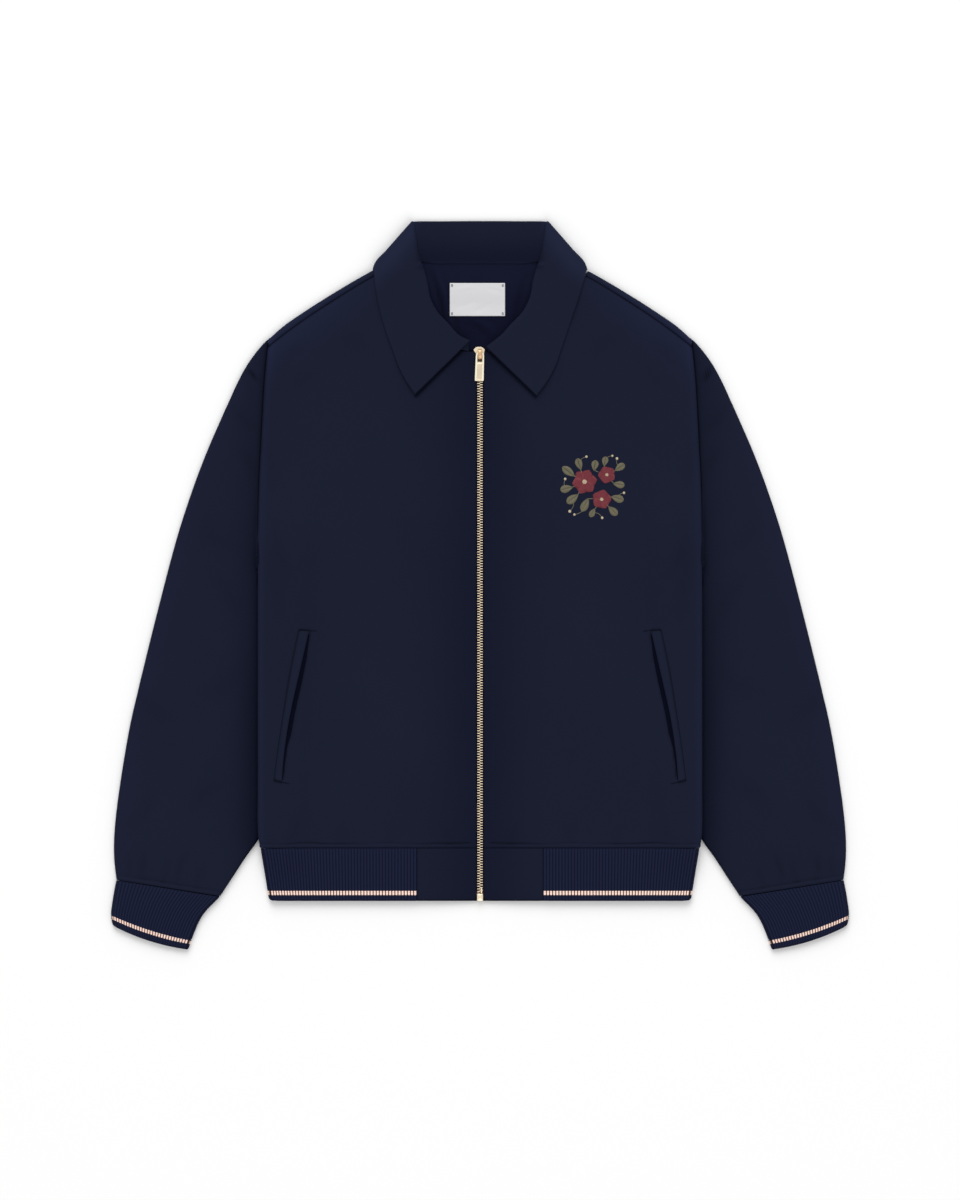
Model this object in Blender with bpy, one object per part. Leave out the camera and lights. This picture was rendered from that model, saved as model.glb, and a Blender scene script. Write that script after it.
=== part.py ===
"""A zipped bomber jacket, laid flat on its back with its front up.

Sizes are in millimetres until a mesh is made. X runs across the jacket, +Y towards the collar and +Z up
from the surface that it lies on, which is Z = 0. Apart from the collar's leaf, which is narrower on the +X
side, the jacket is symmetric about X = 0, so the tables give one half, with X as a distance from the middle.
Its panels lie on each other. The sleeves lie beside the body, with their inner edges tucked under it, and
the collar is one folded wall that wraps round the neck.
"""

import math
from collections import namedtuple

import bpy
from mathutils import Vector
from mathutils.geometry import intersect_ray_tri

MM = 0.001
SEAM_GAP = 0.3

# Walls.
CLOTH = 1.8
COLLAR_WALL = 1.9
RIB_WALL = 1.6
RIB_RELIEF = 0.6
FACING_WALL = 1.2
LABEL_WALL = 1.0
TAPE_WALL = 0.8

# Heights of the laid stack.
STACK = 7.2
FOLD_RADIUS = STACK / 2
SLEEVE_STACK = 6.8
CUFF_STACK = 6.6
SLEEVE_LIFT = 7.3
COLLAR_LIFT = 2.4
NECK_MIDDLE_Z = COLLAR_LIFT + FOLD_RADIUS

# Where the stack rises, as the start and end of each slope: over the tucked sleeves, and over the collar.
SLEEVE_RISE_X = (174.0, 210.0)
SLEEVE_RISE_TOP_Y = (120.0, 32.0)
SLEEVE_RISE_LOW_Y = (-322.0, -274.0)
COLLAR_RISE_Y = (298.0, 322.0)
COLLAR_RISE_X = (150.0, 118.0)

# Body.
ZIP_EDGE_X = 3.9
ZIP_DIP = 1.6
ZIP_DIP_WIDTH = 55.0
ZIP_DIP_TOP_Y = (292.0, 260.0)
UNDERARM_Y = 26.0
ARMHOLE_TURN_START = 10.0
HEM_SEAM_Y = -284.6
HEM_END_Y = -341.8
HEM_STRIPE_Y = -330.0
HEM_TOP_X = 236.2
HEM_END_X = 228.2
TAB_WIDTH = 68.2
ARMHOLE_TURN_DEG = 22.0
SHOULDER_SEAM_NEAR = 5.5
SHOULDER_SEAM_FAR = 8.0

# Ribs. The fold at the side of a hem rib has points at these turns.
HEM_RIBS = 49
CUFF_RIBS = 28
HEM_FOLD_DEG = (45, 87)
HEM_BACK_X = (0.0, 90.0, 170.0, 200.0, 215.0)

# Zip and slider.
CHAIN_HALF_WIDTH = 3.3
CHAIN_TOP_Y = 249.3
CHAIN_END_Y = -333.0
CHAIN_LOW_Z = 3.3
CHAIN_HIGH_Z = 5.3
TAPE_OUTER_X = 17.0
BOX_HALF_WIDTH = 3.5
SLIDER_END_Y = 239.0
SLIDER_LOW_Z = 6.0
SLIDER_HIGH_Z = 7.1
BRIDGE_HALF_WIDTH = 2.15
PULL_AXIS_Y = 248.8
PULL_AXIS_Z = 9.0
PULL_WIDTH = 10.2
PULL_LENGTH = 29.0
PULL_WALL = 1.6
PULL_SLOT_HALF = 2.55
PULL_SLOT_LENGTH = 7.2
PULL_BAR = 1.2
PULL_CORNER = 0.8
PULL_DROP_DEG = 4.1

# The slider's outline on +X: two shoulders at the top, narrowing to the mouth that the closed teeth leave by.
SLIDER_HALF = [
    (3.2, SLIDER_END_Y),
    (4.4, 243.0),
    (4.7, 247.5),
    (5.0, 250.0),
    (6.7, 253.4),
    (4.6, 255.6),
    (2.4, 256.5),
]

# The slider's bridge from the side: where its legs stand, and the arch over them, as Y and Z.
BRIDGE_FOOT_Z = SLIDER_HIGH_Z - 0.5
BRIDGE_SIDE = [
    (243.4, BRIDGE_FOOT_Z),
    (245.0, BRIDGE_FOOT_Z),
    (245.0, 9.6),
    (246.2, 10.6),
    (251.0, 10.6),
    (252.2, 9.6),
    (252.2, BRIDGE_FOOT_Z),
    (254.0, BRIDGE_FOOT_Z),
    (254.0, 10.0),
    (252.0, 11.8),
    (245.4, 11.8),
    (243.4, 10.0),
]

# Label.
LABEL_X = -2.8
LABEL_Y = 307.8
LABEL_WIDTH = 59.8
LABEL_HEIGHT = 35.6

Point = namedtuple("Point", "x y")

# The body's side and armhole: its distance from the middle at each height.
SIDE = [
    Point(HEM_TOP_X + 1.6, HEM_SEAM_Y),
    Point(239.6, -275.0),
    Point(240.3, -262.0),
    Point(240.3, -40.0),
    Point(240.3, 40.0),
    Point(239.2, 101.0),
    Point(236.4, 160.0),
    Point(232.9, 222.0),
    Point(228.5, 266.0),
]

# The fold over the shoulder, from the neck to the sleeve head.
SHOULDER = [
    Point(83.2, 355.9),
    Point(117.2, 338.5),
    Point(143.6, 323.5),
    Point(178.7, 301.9),
    Point(210.6, 280.3),
    Point(226.6, 266.0),
]

# Heights on the side where the front and back panels have a row of points.
SIDE_ROWS = [HEM_SEAM_Y, -276, -262, -225, -180, -135, -90, -45, 0, 18]
SIDE_ROWS += [UNDERARM_Y, 36, 60, 101, 140, 180, 215, 240, 255]

# Columns of the front panel: where each meets the hem seam, and the neck or shoulder.
FrontColumn = namedtuple("FrontColumn", "hem_x top_x top_y")
FRONT_NECK = [
    FrontColumn(ZIP_EDGE_X, ZIP_EDGE_X, 250.5),
    FrontColumn(13.0, 15.3, 250.6),
    FrontColumn(25.0, 27.4, 255.0),
    FrontColumn(40.0, 39.3, 261.4),
    FrontColumn(55.0, 50.5, 272.1),
    FrontColumn(70.0, 61.0, 285.4),
    FrontColumn(85.0, 69.0, 304.8),
    FrontColumn(100.0, 77.5, 330.8),
]

# Where the columns under the shoulder meet the hem seam, closest where the sleeve lifts the body.
SHOULDER_HEM_X = [116.0, 143.0, 168.0, 184.0, 198.0, 212.0, HEM_TOP_X + 1.6]

# Columns of the back panel from the middle out to the neck point.
BACK_NECK = [
    FrontColumn(0.0, 0.0, 348.3),
    FrontColumn(30.0, 27.0, 348.3),
    FrontColumn(60.0, 55.0, 348.5),
    FrontColumn(88.0, 76.0, 350.0),
]

# Sleeve sections from the armhole to the cuff seam: the ends of each on the outer and inner edges.
Section = namedtuple("Section", "outer_x outer_y inner_x inner_y")
SLEEVE = [
    Section(229.4, 265.0, 241.2, 26.0),
    Section(243.5, 248.0, 242.8, 17.0),
    Section(259.5, 223.0, 243.0, 8.0),
    Section(283.0, 172.0, 241.4, -6.0),
    Section(303.0, 124.0, 234.0, -24.0),
    Section(325.2, 59.0, 225.0, -50.0),
    Section(344.4, -12.0, 218.0, -84.0),
    Section(363.2, -87.0, 215.0, -128.0),
    Section(378.2, -151.0, 217.0, -176.0),
    Section(389.3, -216.5, 223.0, -224.0),
    Section(395.0, -264.0, 234.0, -266.0),
    Section(395.6, -295.0, 251.0, -292.0),
    Section(393.0, -319.0, 280.5, -336.8),
]
SLEEVE_STEPS = 2

# Cuff sections from its seam to its end, in the same columns.
CUFF = [
    Section(393.2, -319.5, 281.0, -337.5),
    Section(396.8, -339.0, 299.5, -357.5),
    Section(398.5, -356.0, 312.1, -385.7),
    Section(396.6, -364.0, 314.3, -392.6),
]
CUFF_BOW = [0.0, 1.8, 3.5, 6.0]

# Collar stations from the front end to the middle of the back: seam, fold and leaf edge seen from above.
# turn is 90 where the leaf lies over the front, -90 where it lies under the back. The leaf's front edge
# stands higher by rise. The leaf on +X is narrower by inset.
Station = namedtuple("Station", "neck_x neck_y fold_x fold_y edge_x edge_y turn rise inset")
COLLAR_FRONT = [
    Station(9.2, 251.6, 8.4, 255.0, 69.7, 204.0, 90, 2.4, 8.7),
    Station(27.0, 255.5, 24.6, 267.7, 78.8, 217.6, 90, 1.2, 7.4),
    Station(38.9, 261.9, 35.5, 279.5, 87.5, 233.8, 90, 0.5, 6.9),
    Station(50.0, 272.5, 48.6, 293.8, 94.5, 253.3, 90, 0.2, 6.9),
    Station(60.5, 285.7, 55.2, 306.9, 99.4, 266.2, 90, 0.0, 7.3),
    Station(68.5, 305.0, 59.5, 327.6, 106.9, 290.0, 90, 0.0, 6.8),
    Station(77.0, 331.0, 68.4, 358.0, 112.8, 318.0, 90, 0.0, 3.4),
]
# The leaf on -X starts higher.
LEFT_POINT = Station(12.0, 252.0, 12.6, 261.5, 70.2, 205.2, 90, 2.4, 0.0)
COLLAR_CORNER = Station(80.2, 354.4, 69.6, 387.4, 113.0, 337.0, 0, 0.0, 0.0)
COLLAR_BACK = [
    Station(76.0, 351.6, 65.0, 390.0, 104.8, 331.2, -90, 0.0, 0.0),
    Station(55.0, 349.0, 45.0, 390.0, 75.6, 329.9, -90, 0.0, 0.0),
    Station(27.0, 348.8, 22.0, 390.0, 37.8, 329.9, -90, 0.0, 0.0),
    Station(0.0, 348.8, 0.0, 390.0, 0.0, 329.9, -90, 0.0, 0.0),
]
CORNER_TURNS = [90, 60, 30, 0, -30, -60, -90]
COLLAR_SEAM_RISE = 1.1
STAND_AT_NECK = 2.7
STAND_AT_FOLD = 1.6
LEAF_AT_FOLD = 5.05
LEAF_GAP = 0.5

# Back neck facing: its half width at each height.
FACING = [Point(40.0, 252.8), Point(60.0, 275.0), Point(68.0, 300.0), Point(70.0, 325.0), Point(66.0, 347.8)]

# Pocket welt corners on one half: the outer edge, then the opening edge, from top to bottom.
WELT_OUTER = [
    Point(195.5, -48.2),
    Point(204.9, -94.0),
    Point(213.2, -142.0),
    Point(219.1, -180.0),
    Point(223.2, -211.4),
]
WELT_OPENING = [
    Point(184.2, -49.2),
    Point(194.8, -96.0),
    Point(205.4, -144.0),
    Point(211.3, -182.0),
    Point(213.8, -213.6),
]
WELT_WALL = 1.2

# Colours.
NAVY = (0.0116, 0.0144, 0.0307)
FACING_NAVY = (0.007, 0.008, 0.019)
RIB_NAVY = (0.0110, 0.0130, 0.0356)
GOLD = (0.80, 0.58, 0.30)
SATIN = (0.72, 0.73, 0.76)


def clear_scene():
    for thing in list(bpy.data.objects):
        bpy.data.objects.remove(thing, do_unlink=True)


def smooth(low, high, value):
    """0 at low, 1 at high, with a soft start and end; low may be the larger."""
    share = min(1.0, max(0.0, (value - low) / (high - low)))
    return share * share * (3 - 2 * share)


def mix(first, second, share):
    return first + (second - first) * share


def read(points, height):
    """The X of an edge at a height, along straight runs between its points."""
    ordered = sorted(points, key=lambda point: point.y)
    for low, high in zip(ordered, ordered[1:]):
        if height <= high.y:
            break
    share = min(1.0, max(0.0, (height - low.y) / (high.y - low.y)))
    return mix(low.x, high.x, share)


def on_shoulder(share):
    """A point at a share of the way along the shoulder fold, and the outward direction there."""
    place = share * (len(SHOULDER) - 1)
    index = min(int(place), len(SHOULDER) - 2)
    low = SHOULDER[index]
    high = SHOULDER[index + 1]
    run = Vector((high.x - low.x, high.y - low.y, 0.0))
    outward = Vector((0.55 - 0.55 * smooth(0.8, 1.0, share), 0.85, 0.0)).normalized()
    return Vector((low.x, low.y, 0.0)) + run * (place - index), outward


def eased(rows, steps):
    """Rows of a table with more rows between them, on a smooth curve through the given ones."""
    made = []
    last = len(rows) - 1
    for index in range(last):
        around = [rows[max(0, index - 1)], rows[index], rows[index + 1], rows[min(last, index + 2)]]
        for step in range(steps):
            t = step / steps
            values = []
            for a, b, c, d in zip(*around):
                slope = c - a
                bend = 2 * a - 5 * b + 4 * c - d
                twist = 3 * b - a - 3 * c + d
                values.append(b + 0.5 * t * (slope + t * (bend + t * twist)))
            made.append(type(rows[0])(*values))
    made.append(rows[last])
    return made


def lift(x, y):
    """How far the back panel lies off the surface: over the tucked sleeves, and over the collar's fall."""
    beside = smooth(*SLEEVE_RISE_X, abs(x))
    along = smooth(*SLEEVE_RISE_TOP_Y, y) * smooth(*SLEEVE_RISE_LOW_Y, y)
    near_neck = smooth(*COLLAR_RISE_Y, y) * smooth(*COLLAR_RISE_X, abs(x))
    return max(beside * along * SLEEVE_LIFT, near_neck * COLLAR_LIFT)


def front_top(x, y):
    """The outer face of the front: the stack's height less the dip towards the zip."""
    dip = ZIP_DIP * (1 - smooth(0.0, ZIP_DIP_WIDTH, abs(x))) * smooth(*ZIP_DIP_TOP_Y, y)
    return lift(x, y) + STACK - dip


def side_turn(y):
    """How far the side fold turns, in radians: a quarter turn under the arm, little along the armhole."""
    return math.radians(mix(90.0, ARMHOLE_TURN_DEG, smooth(UNDERARM_Y, UNDERARM_Y + ARMHOLE_TURN_START, y)))


def new_material(name, colour, roughness, metallic=0.0):
    material = bpy.data.materials.new(name)
    material.use_nodes = True
    shader = material.node_tree.nodes["Principled BSDF"]
    shader.inputs["Base Color"].default_value = (*colour, 1.0)
    shader.inputs["Roughness"].default_value = roughness
    shader.inputs["Metallic"].default_value = metallic
    return material


def new_object(name, vertices, faces, material, smooth_angle=40.0):
    mesh = bpy.data.meshes.new(name)
    mesh.from_pydata([vertex * MM for vertex in vertices], [], faces)
    mesh.validate()
    made = bpy.data.objects.new(name, mesh)
    bpy.context.scene.collection.objects.link(made)
    mesh.materials.append(material)
    mesh.shade_smooth()
    mesh.set_sharp_from_angle(angle=math.radians(smooth_angle))
    return made


def make_wall(name, rows, wall, material, relief=None, closed=False, centred=False, square=None):
    """A closed wall of cloth from rows of points on its outer face. Seen from outside, rows run up and
    their points run to the right. A row may hold None where the wall has no point. relief raises each
    outer point over the plain inside. centred rows are the middle of the wall. square gives the axis that a
    seam edge is cut square to, or None, for each point."""
    count = len(rows[0])
    place = {}
    outer = []
    for i, row in enumerate(rows):
        for j, point in enumerate(row):
            if point is not None:
                place[i, j] = len(outer)
                outer.append(Vector(point))
    faces = []
    for i in range(len(rows) - 1):
        for j in range(count if closed else count - 1):
            corners = [(i, j), (i, (j + 1) % count), (i + 1, (j + 1) % count), (i + 1, j)]
            if all(corner in place for corner in corners):
                faces.append([place[corner] for corner in corners])
    normals = [Vector() for _ in outer]
    for face in faces:
        a, b, c, d = (outer[index] for index in face)
        across = (c - a).cross(d - b)
        if across.length > 0:
            across.normalize()
        for index in face:
            normals[index] += across
    for (i, j), index in place.items():
        axis = square(i, outer[index]) if square else None
        if axis is not None:
            normals[index][axis] = 0.0
        normals[index].normalize()
    raised = wall / 2 if centred else 0.0
    sunk = wall / 2 if centred else wall
    inner = [point - normal * sunk for point, normal in zip(outer, normals)]
    lifted = [point + normal * raised for point, normal in zip(outer, normals)]
    if relief:
        for (i, j), index in place.items():
            lifted[index] = lifted[index] + normals[index] * relief[i][j]
    total = len(outer)
    used = {}
    for face in faces:
        for a, b in zip(face, face[1:] + face[:1]):
            used[a, b] = True
    solid = list(faces)
    solid += [[index + total for index in reversed(face)] for face in faces]
    solid += [[b, a, a + total, b + total] for a, b in used if (b, a) not in used]
    return new_object(name, lifted + inner, solid, material)


def mirrored(point, side):
    return None if point is None else Vector((point.x * side, point.y, point.z))


def mirrored_rows(rows, side):
    """Rows for one half. The tables hold the +X half, and the other half runs the other way."""
    if side > 0:
        return rows
    return [[mirrored(point, side) for point in reversed(row)] for row in rows]


def patch(column, side_y, columns, side_x, seam_top):
    """A point of a panel seen from above: a blend of its four edges."""
    low_y = HEM_SEAM_Y
    share = (side_y - low_y) / (SIDE_ROWS[-1] - low_y)
    across = column / (len(columns) - 1)
    low = Vector((columns[column].hem_x, low_y, 0.0))
    top = Vector((columns[column].top_x, columns[column].top_y, 0.0))
    first = columns[0]
    last = columns[-1]
    middle = Vector((mix(first.hem_x, first.top_x, share), mix(low_y, first.top_y, share), 0.0))
    side = Vector((side_x, mix(low_y, seam_top, share), 0.0))
    corners = (
        Vector((first.hem_x, low_y, 0.0)) * (1 - across) * (1 - share)
        + Vector((last.hem_x, low_y, 0.0)) * across * (1 - share)
        + Vector((first.top_x, first.top_y, 0.0)) * (1 - across) * share
        + Vector((last.top_x, last.top_y, 0.0)) * across * share
    )
    return low * (1 - share) + top * share + middle * (1 - across) + side * across - corners


def seam_columns(neck, seam_near, seam_far):
    """The neck columns and then those along the shoulder, inset from its fold."""
    columns = list(neck)
    for step, hem_x in enumerate(SHOULDER_HEM_X):
        share = step / (len(SHOULDER_HEM_X) - 1)
        point, outward = on_shoulder(share)
        inset = mix(seam_near, seam_far, share)
        point = point - outward * inset
        columns.append(FrontColumn(hem_x, point.x, point.y))
    return columns


def side_square(row, point):
    """Under the arm the side seam's edges face each other, square to Z."""
    on_edge = abs(point.x) > read(SIDE, point.y) - SEAM_GAP / 2 - 0.01
    return 2 if on_edge and point.y <= UNDERARM_Y else None


def side_fold(edge_x, y, height, downward):
    """The last points of a row: the fold's arc, from the flat to the side seam."""
    turn = side_turn(y)
    arc = []
    for step in (1, 2, 3):
        angle = turn * step / 3
        x = edge_x - FOLD_RADIUS * (math.sin(turn) - math.sin(angle))
        arc.append(Vector((x, y, height - downward * FOLD_RADIUS * (1 - math.cos(angle)))))
    return arc


def panel_rows(columns, height, downward):
    """Rows of a panel from the hem seam up: its columns, and then the fold at its side."""
    edge_top = columns[-1].top_y
    rows = []
    for side_y in SIDE_ROWS:
        y = mix(HEM_SEAM_Y, edge_top, (side_y - HEM_SEAM_Y) / (SIDE_ROWS[-1] - HEM_SEAM_Y))
        edge_x = read(SIDE, y) - SEAM_GAP / 2
        flat_x = edge_x - FOLD_RADIUS * math.sin(side_turn(y))
        row = []
        for column in range(len(columns)):
            point = patch(column, side_y, columns, flat_x, edge_top)
            point.z = height(point.x, point.y)
            row.append(point)
        arc = side_fold(edge_x, y, height(edge_x, y), downward)
        arc[-1].z += downward * SEAM_GAP / 2
        rows.append(row + arc)
    return rows


def front_rows():
    gap = 1.5 * SEAM_GAP
    columns = seam_columns(FRONT_NECK, SHOULDER_SEAM_NEAR + gap, SHOULDER_SEAM_FAR + gap)
    return panel_rows(columns, front_top, 1.0)


def back_half_rows():
    """The back panel's rows from the middle to the side, and those that wrap over the shoulder."""
    rows = panel_rows(seam_columns(BACK_NECK, FOLD_RADIUS, FOLD_RADIUS), lift, -1.0)
    wraps = [[], [], [], [], []]
    for column in range(len(rows[0])):
        shoulder_step = column - len(BACK_NECK)
        if shoulder_step < 0:
            for wrap in wraps:
                wrap.append(None)
            continue
        share = min(1.0, shoulder_step / (len(SHOULDER_HEM_X) - 1))
        outward = on_shoulder(share)[1]
        top_point = rows[-1][column]
        axis = Vector((top_point.x, top_point.y, 0.0))
        low_z = lift(axis.x, axis.y)
        high_z = front_top(axis.x, axis.y)
        top_point.z = low_z
        middle = (low_z + high_z) / 2
        radius = (high_z - low_z) / 2
        for wrap, degrees in zip(wraps, (-45, 0, 45, 90)):
            angle = math.radians(degrees)
            point = axis + outward * (radius * math.cos(angle))
            point.z = middle + radius * math.sin(angle)
            wrap.append(point)
        reach = mix(SHOULDER_SEAM_NEAR, SHOULDER_SEAM_FAR, share) - FOLD_RADIUS
        point = axis - outward * reach
        point.z = front_top(point.x, point.y)
        wraps[4].append(point)
    return rows + wraps


def front_panels(material):
    for name, side in (("front_left", -1), ("front_right", 1)):
        make_wall(name, mirrored_rows(front_rows(), side), CLOTH, material, square=side_square)


def back_panel(material):
    half = back_half_rows()
    rows = []
    for row in half:
        left = [mirrored(point, -1) for point in reversed(row[1:])]
        # Seen from below, the points run from +X to -X.
        rows.append(list(reversed(left + list(row))))
    make_wall("back", rows, CLOTH, material, square=side_square)


def ring(section, stack, low_z, high_z, top_points, low_points, bow=0.0, bend=None):
    """Points round a flattened tube: over its top from the outer edge to the inner, and back underneath."""
    outer = Vector((section.outer_x, section.outer_y, 0.0))
    inner = Vector((section.inner_x, section.inner_y, 0.0))
    run = (inner - outer).normalized()
    across = Vector((-run.y, run.x, 0.0))
    radius = stack / 2
    start = outer + run * radius
    end = inner - run * radius

    def place(share):
        point = start + (end - start) * share
        if bend:
            point = bend(point)
        return point + across * (bow * 4 * share * (1 - share))

    points = []
    for step in range(top_points):
        share = step / (top_points - 1)
        point = place(share)
        point.z = high_z(point, share)
        points.append(point)
    for degrees in (45, 0, -45):
        points.append(edge_arc(place(1.0), run, degrees, low_z, high_z, 1.0))
    for step in range(low_points):
        share = 1 - step / (low_points - 1)
        point = place(share)
        point.z = low_z(point, share)
        points.append(point)
    for degrees in (-45, 0, 45):
        points.append(edge_arc(place(0.0), -run, degrees, low_z, high_z, 0.0))
    return points


def edge_arc(base, outward, degrees, low_z, high_z, share):
    low = low_z(base, share)
    high = high_z(base, share)
    angle = math.radians(degrees)
    point = base + outward * ((high - low) / 2 * math.cos(angle))
    point.z = (low + high) / 2 + (high - low) / 2 * math.sin(angle)
    return point


def sleeve_rings():
    sections = eased(SLEEVE, SLEEVE_STEPS)
    rings = []
    for index, section in enumerate(sections):
        attached = 1 - smooth(0.0, 5.0, index)

        def high_z(point, share, attached=attached):
            dome = SLEEVE_STACK - 0.5 * (2 * share - 1) ** 2
            return mix(dome, lift(point.x, point.y) + STACK, attached)

        def low_z(point, share, attached=attached):
            return lift(point.x, point.y) * attached

        clear = SEAM_GAP if index else SEAM_GAP / 2

        def bend(point, attached=attached, clear=clear):
            armhole = read(SIDE, point.y) + SEAM_GAP / 2 + clear * 2
            straight = mix(SLEEVE[0].outer_x, SLEEVE[0].inner_x, down_armhole(point.y))
            return point + Vector(((armhole - straight) * attached, 0.0, 0.0))

        rings.append(ring(section, SLEEVE_STACK, low_z, high_z, 10, 6, bend=bend if index < 5 else None))
    return rings


def down_armhole(y):
    """The share of the armhole's height that lies above y."""
    return min(1.0, max(0.0, (SLEEVE[0].outer_y - y) / (SLEEVE[0].outer_y - SLEEVE[0].inner_y)))


def sleeves(material):
    for name, side in (("sleeve_left", -1), ("sleeve_right", 1)):
        rings = [[mirrored(point, side) for point in one] for one in sleeve_rings()]
        if side > 0:
            rings = [list(reversed(one)) for one in rings]
        armhole_row = len(rings) - 1

        def armhole_square(row, point):
            return 0 if row == armhole_row else None

        make_wall(name, list(reversed(rings)), CLOTH, material, closed=True, square=armhole_square)


def cuffs(material):
    for name, side in (("cuff_left", -1), ("cuff_right", 1)):
        rings = []
        relief = []
        top_points = 2 * CUFF_RIBS + 1
        for index, section in enumerate(CUFF):

            def high_z(point, share):
                return CUFF_STACK - 0.3 * (2 * share - 1) ** 2

            def low_z(point, share):
                return 0.0

            one = ring(section, CUFF_STACK, low_z, high_z, top_points, 5, bow=CUFF_BOW[index])
            # The ribs start just under the seam and end in the plain rolled edge.
            height = RIB_RELIEF if 0 < index < len(CUFF) - 1 else RIB_RELIEF / 2
            heights = [height * (step % 2) for step in range(top_points)]
            heights += [0.0] * (len(one) - top_points)
            one = [mirrored(point, side) for point in one]
            if side > 0:
                one.reverse()
                heights.reverse()
            rings.append(one)
            relief.append(heights)
        make_wall(name, list(reversed(rings)), RIB_WALL, material, relief=list(reversed(relief)), closed=True)


def hem_edge(y):
    share = (y - HEM_SEAM_Y) / (HEM_END_Y - HEM_SEAM_Y)
    return mix(HEM_TOP_X + 1.2, HEM_END_X, share)


def hem_levels():
    return [HEM_END_Y, HEM_STRIPE_Y, HEM_SEAM_Y - SEAM_GAP]


def hem_square(row, point):
    on_edge = abs(point.x) > hem_edge(point.y) - SEAM_GAP / 2 - 0.02
    return 2 if on_edge else None


def hem_ribs(material):
    for name, side in (("hem_rib_front_left", -1), ("hem_rib_front_right", 1)):
        rows = []
        relief = []
        levels = hem_levels()
        for index, y in enumerate(levels):
            edge_x = hem_edge(y) - SEAM_GAP / 2
            flat_x = edge_x - FOLD_RADIUS
            start_x = TAB_WIDTH + SEAM_GAP / 2
            row = []
            heights = []
            height = RIB_RELIEF if 0 < index < len(levels) - 1 else RIB_RELIEF / 2
            for step in range(2 * HEM_RIBS + 1):
                x = mix(start_x, flat_x, step / (2 * HEM_RIBS))
                row.append(Vector((x, y, front_top(x, y))))
                heights.append(height * (step % 2))
            for degrees in HEM_FOLD_DEG:
                angle = math.radians(degrees)
                x = flat_x + FOLD_RADIUS * math.sin(angle)
                row.append(Vector((x, y, front_top(edge_x, y) - FOLD_RADIUS * (1 - math.cos(angle)))))
                heights.append(0.0)
            if side < 0:
                row = [mirrored(point, side) for point in reversed(row)]
                heights.reverse()
            rows.append(row)
            relief.append(heights)
        make_wall(name, rows, RIB_WALL, material, relief=relief, square=hem_square)
    rows = []
    for y in hem_levels():
        edge_x = hem_edge(y) - SEAM_GAP / 2
        flat_x = edge_x - FOLD_RADIUS
        half = []
        for x in (*HEM_BACK_X, flat_x):
            half.append(Vector((x, y, lift(x, y))))
        for degrees in HEM_FOLD_DEG:
            angle = math.radians(degrees)
            x = flat_x + FOLD_RADIUS * math.sin(angle)
            half.append(Vector((x, y, lift(edge_x, y) + FOLD_RADIUS * (1 - math.cos(angle)))))
        left = [mirrored(point, -1) for point in reversed(half[1:])]
        rows.append(list(reversed(left + half)))
    make_wall("hem_rib_back", rows, RIB_WALL, material, square=hem_square)


def hem_tabs(material):
    for name, side in (("hem_tab_left", -1), ("hem_tab_right", 1)):
        rows = []
        for y in hem_levels():
            row = []
            for step in range(7):
                x = mix(ZIP_EDGE_X, TAB_WIDTH - SEAM_GAP / 2, step / 6)
                row.append(Vector((x, y, front_top(x, y))))
            rows.append(row)
        make_wall(name, mirrored_rows(rows, side), CLOTH, material)


def collar_section(station):
    """The middle of the collar's wall at one station: up the stand, round the fold and down the leaf."""
    neck = Vector((station.neck_x, station.neck_y, 0.0))
    fold = Vector((station.fold_x, station.fold_y, 0.0))
    edge = Vector((station.edge_x, station.edge_y, 0.0))
    angle = math.radians(station.turn)
    corner_x = COLLAR_CORNER.fold_x - COLLAR_CORNER.edge_x
    corner_y = COLLAR_CORNER.fold_y - COLLAR_CORNER.edge_y
    aside = Vector((corner_y, -corner_x, 0.0)).normalized()
    out = aside * math.cos(angle) + Vector((0.0, 0.0, math.sin(angle)))
    roll = (fold - edge).normalized()
    up = Vector((0.0, 0.0, NECK_MIDDLE_Z))
    neck_point = neck + up + out * STAND_AT_NECK
    edge_point = edge + up + out * LEAF_AT_FOLD
    if station.turn == 90:
        neck_point.z = front_top(neck.x, neck.y) - CLOTH / 2
        edge_point.z = front_top(edge.x, edge.y) + COLLAR_WALL / 2 + LEAF_GAP + station.rise
    if station.turn == -90:
        neck_point.z = COLLAR_LIFT + CLOTH / 2 + COLLAR_SEAM_RISE
        edge_point.z = COLLAR_WALL / 2
    stand_end = fold + up + out * STAND_AT_FOLD
    leaf_start = fold + up + out * LEAF_AT_FOLD
    centre = (stand_end + leaf_start) / 2
    radius = (LEAF_AT_FOLD - STAND_AT_FOLD) / 2
    points = [neck_point.lerp(stand_end, share) for share in (0.0, 0.35, 0.7, 1.0)]
    for degrees in (-45, 0, 45):
        bend = math.radians(degrees)
        points.append(centre + out * (radius * math.sin(bend)) + roll * (radius * math.cos(bend)))
    points += [leaf_start.lerp(edge_point, share) for share in (0.0, 0.3, 0.6, 1.0)]
    return points


def collar(material):
    stations = list(COLLAR_FRONT)
    stations += [COLLAR_CORNER._replace(turn=turn) for turn in CORNER_TURNS]
    stations += COLLAR_BACK
    right = [collar_section(station._replace(edge_x=station.edge_x - station.inset)) for station in stations]
    left = [collar_section(station) for station in [LEFT_POINT] + stations[1:]]
    left = [[mirrored(point, -1) for point in section] for section in left]
    rows = right + list(reversed(left[:-1]))
    make_wall("collar", rows, COLLAR_WALL, material, centred=True)


def facing(material):
    rows = []
    for half_width, y in FACING:
        row = []
        for step in range(9):
            x = half_width * (step / 4 - 1)
            row.append(Vector((x, y, lift(x, y) + CLOTH + SEAM_GAP + FACING_WALL)))
        rows.append(row)
    make_wall("back_neck_facing", rows, FACING_WALL, material)


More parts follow.
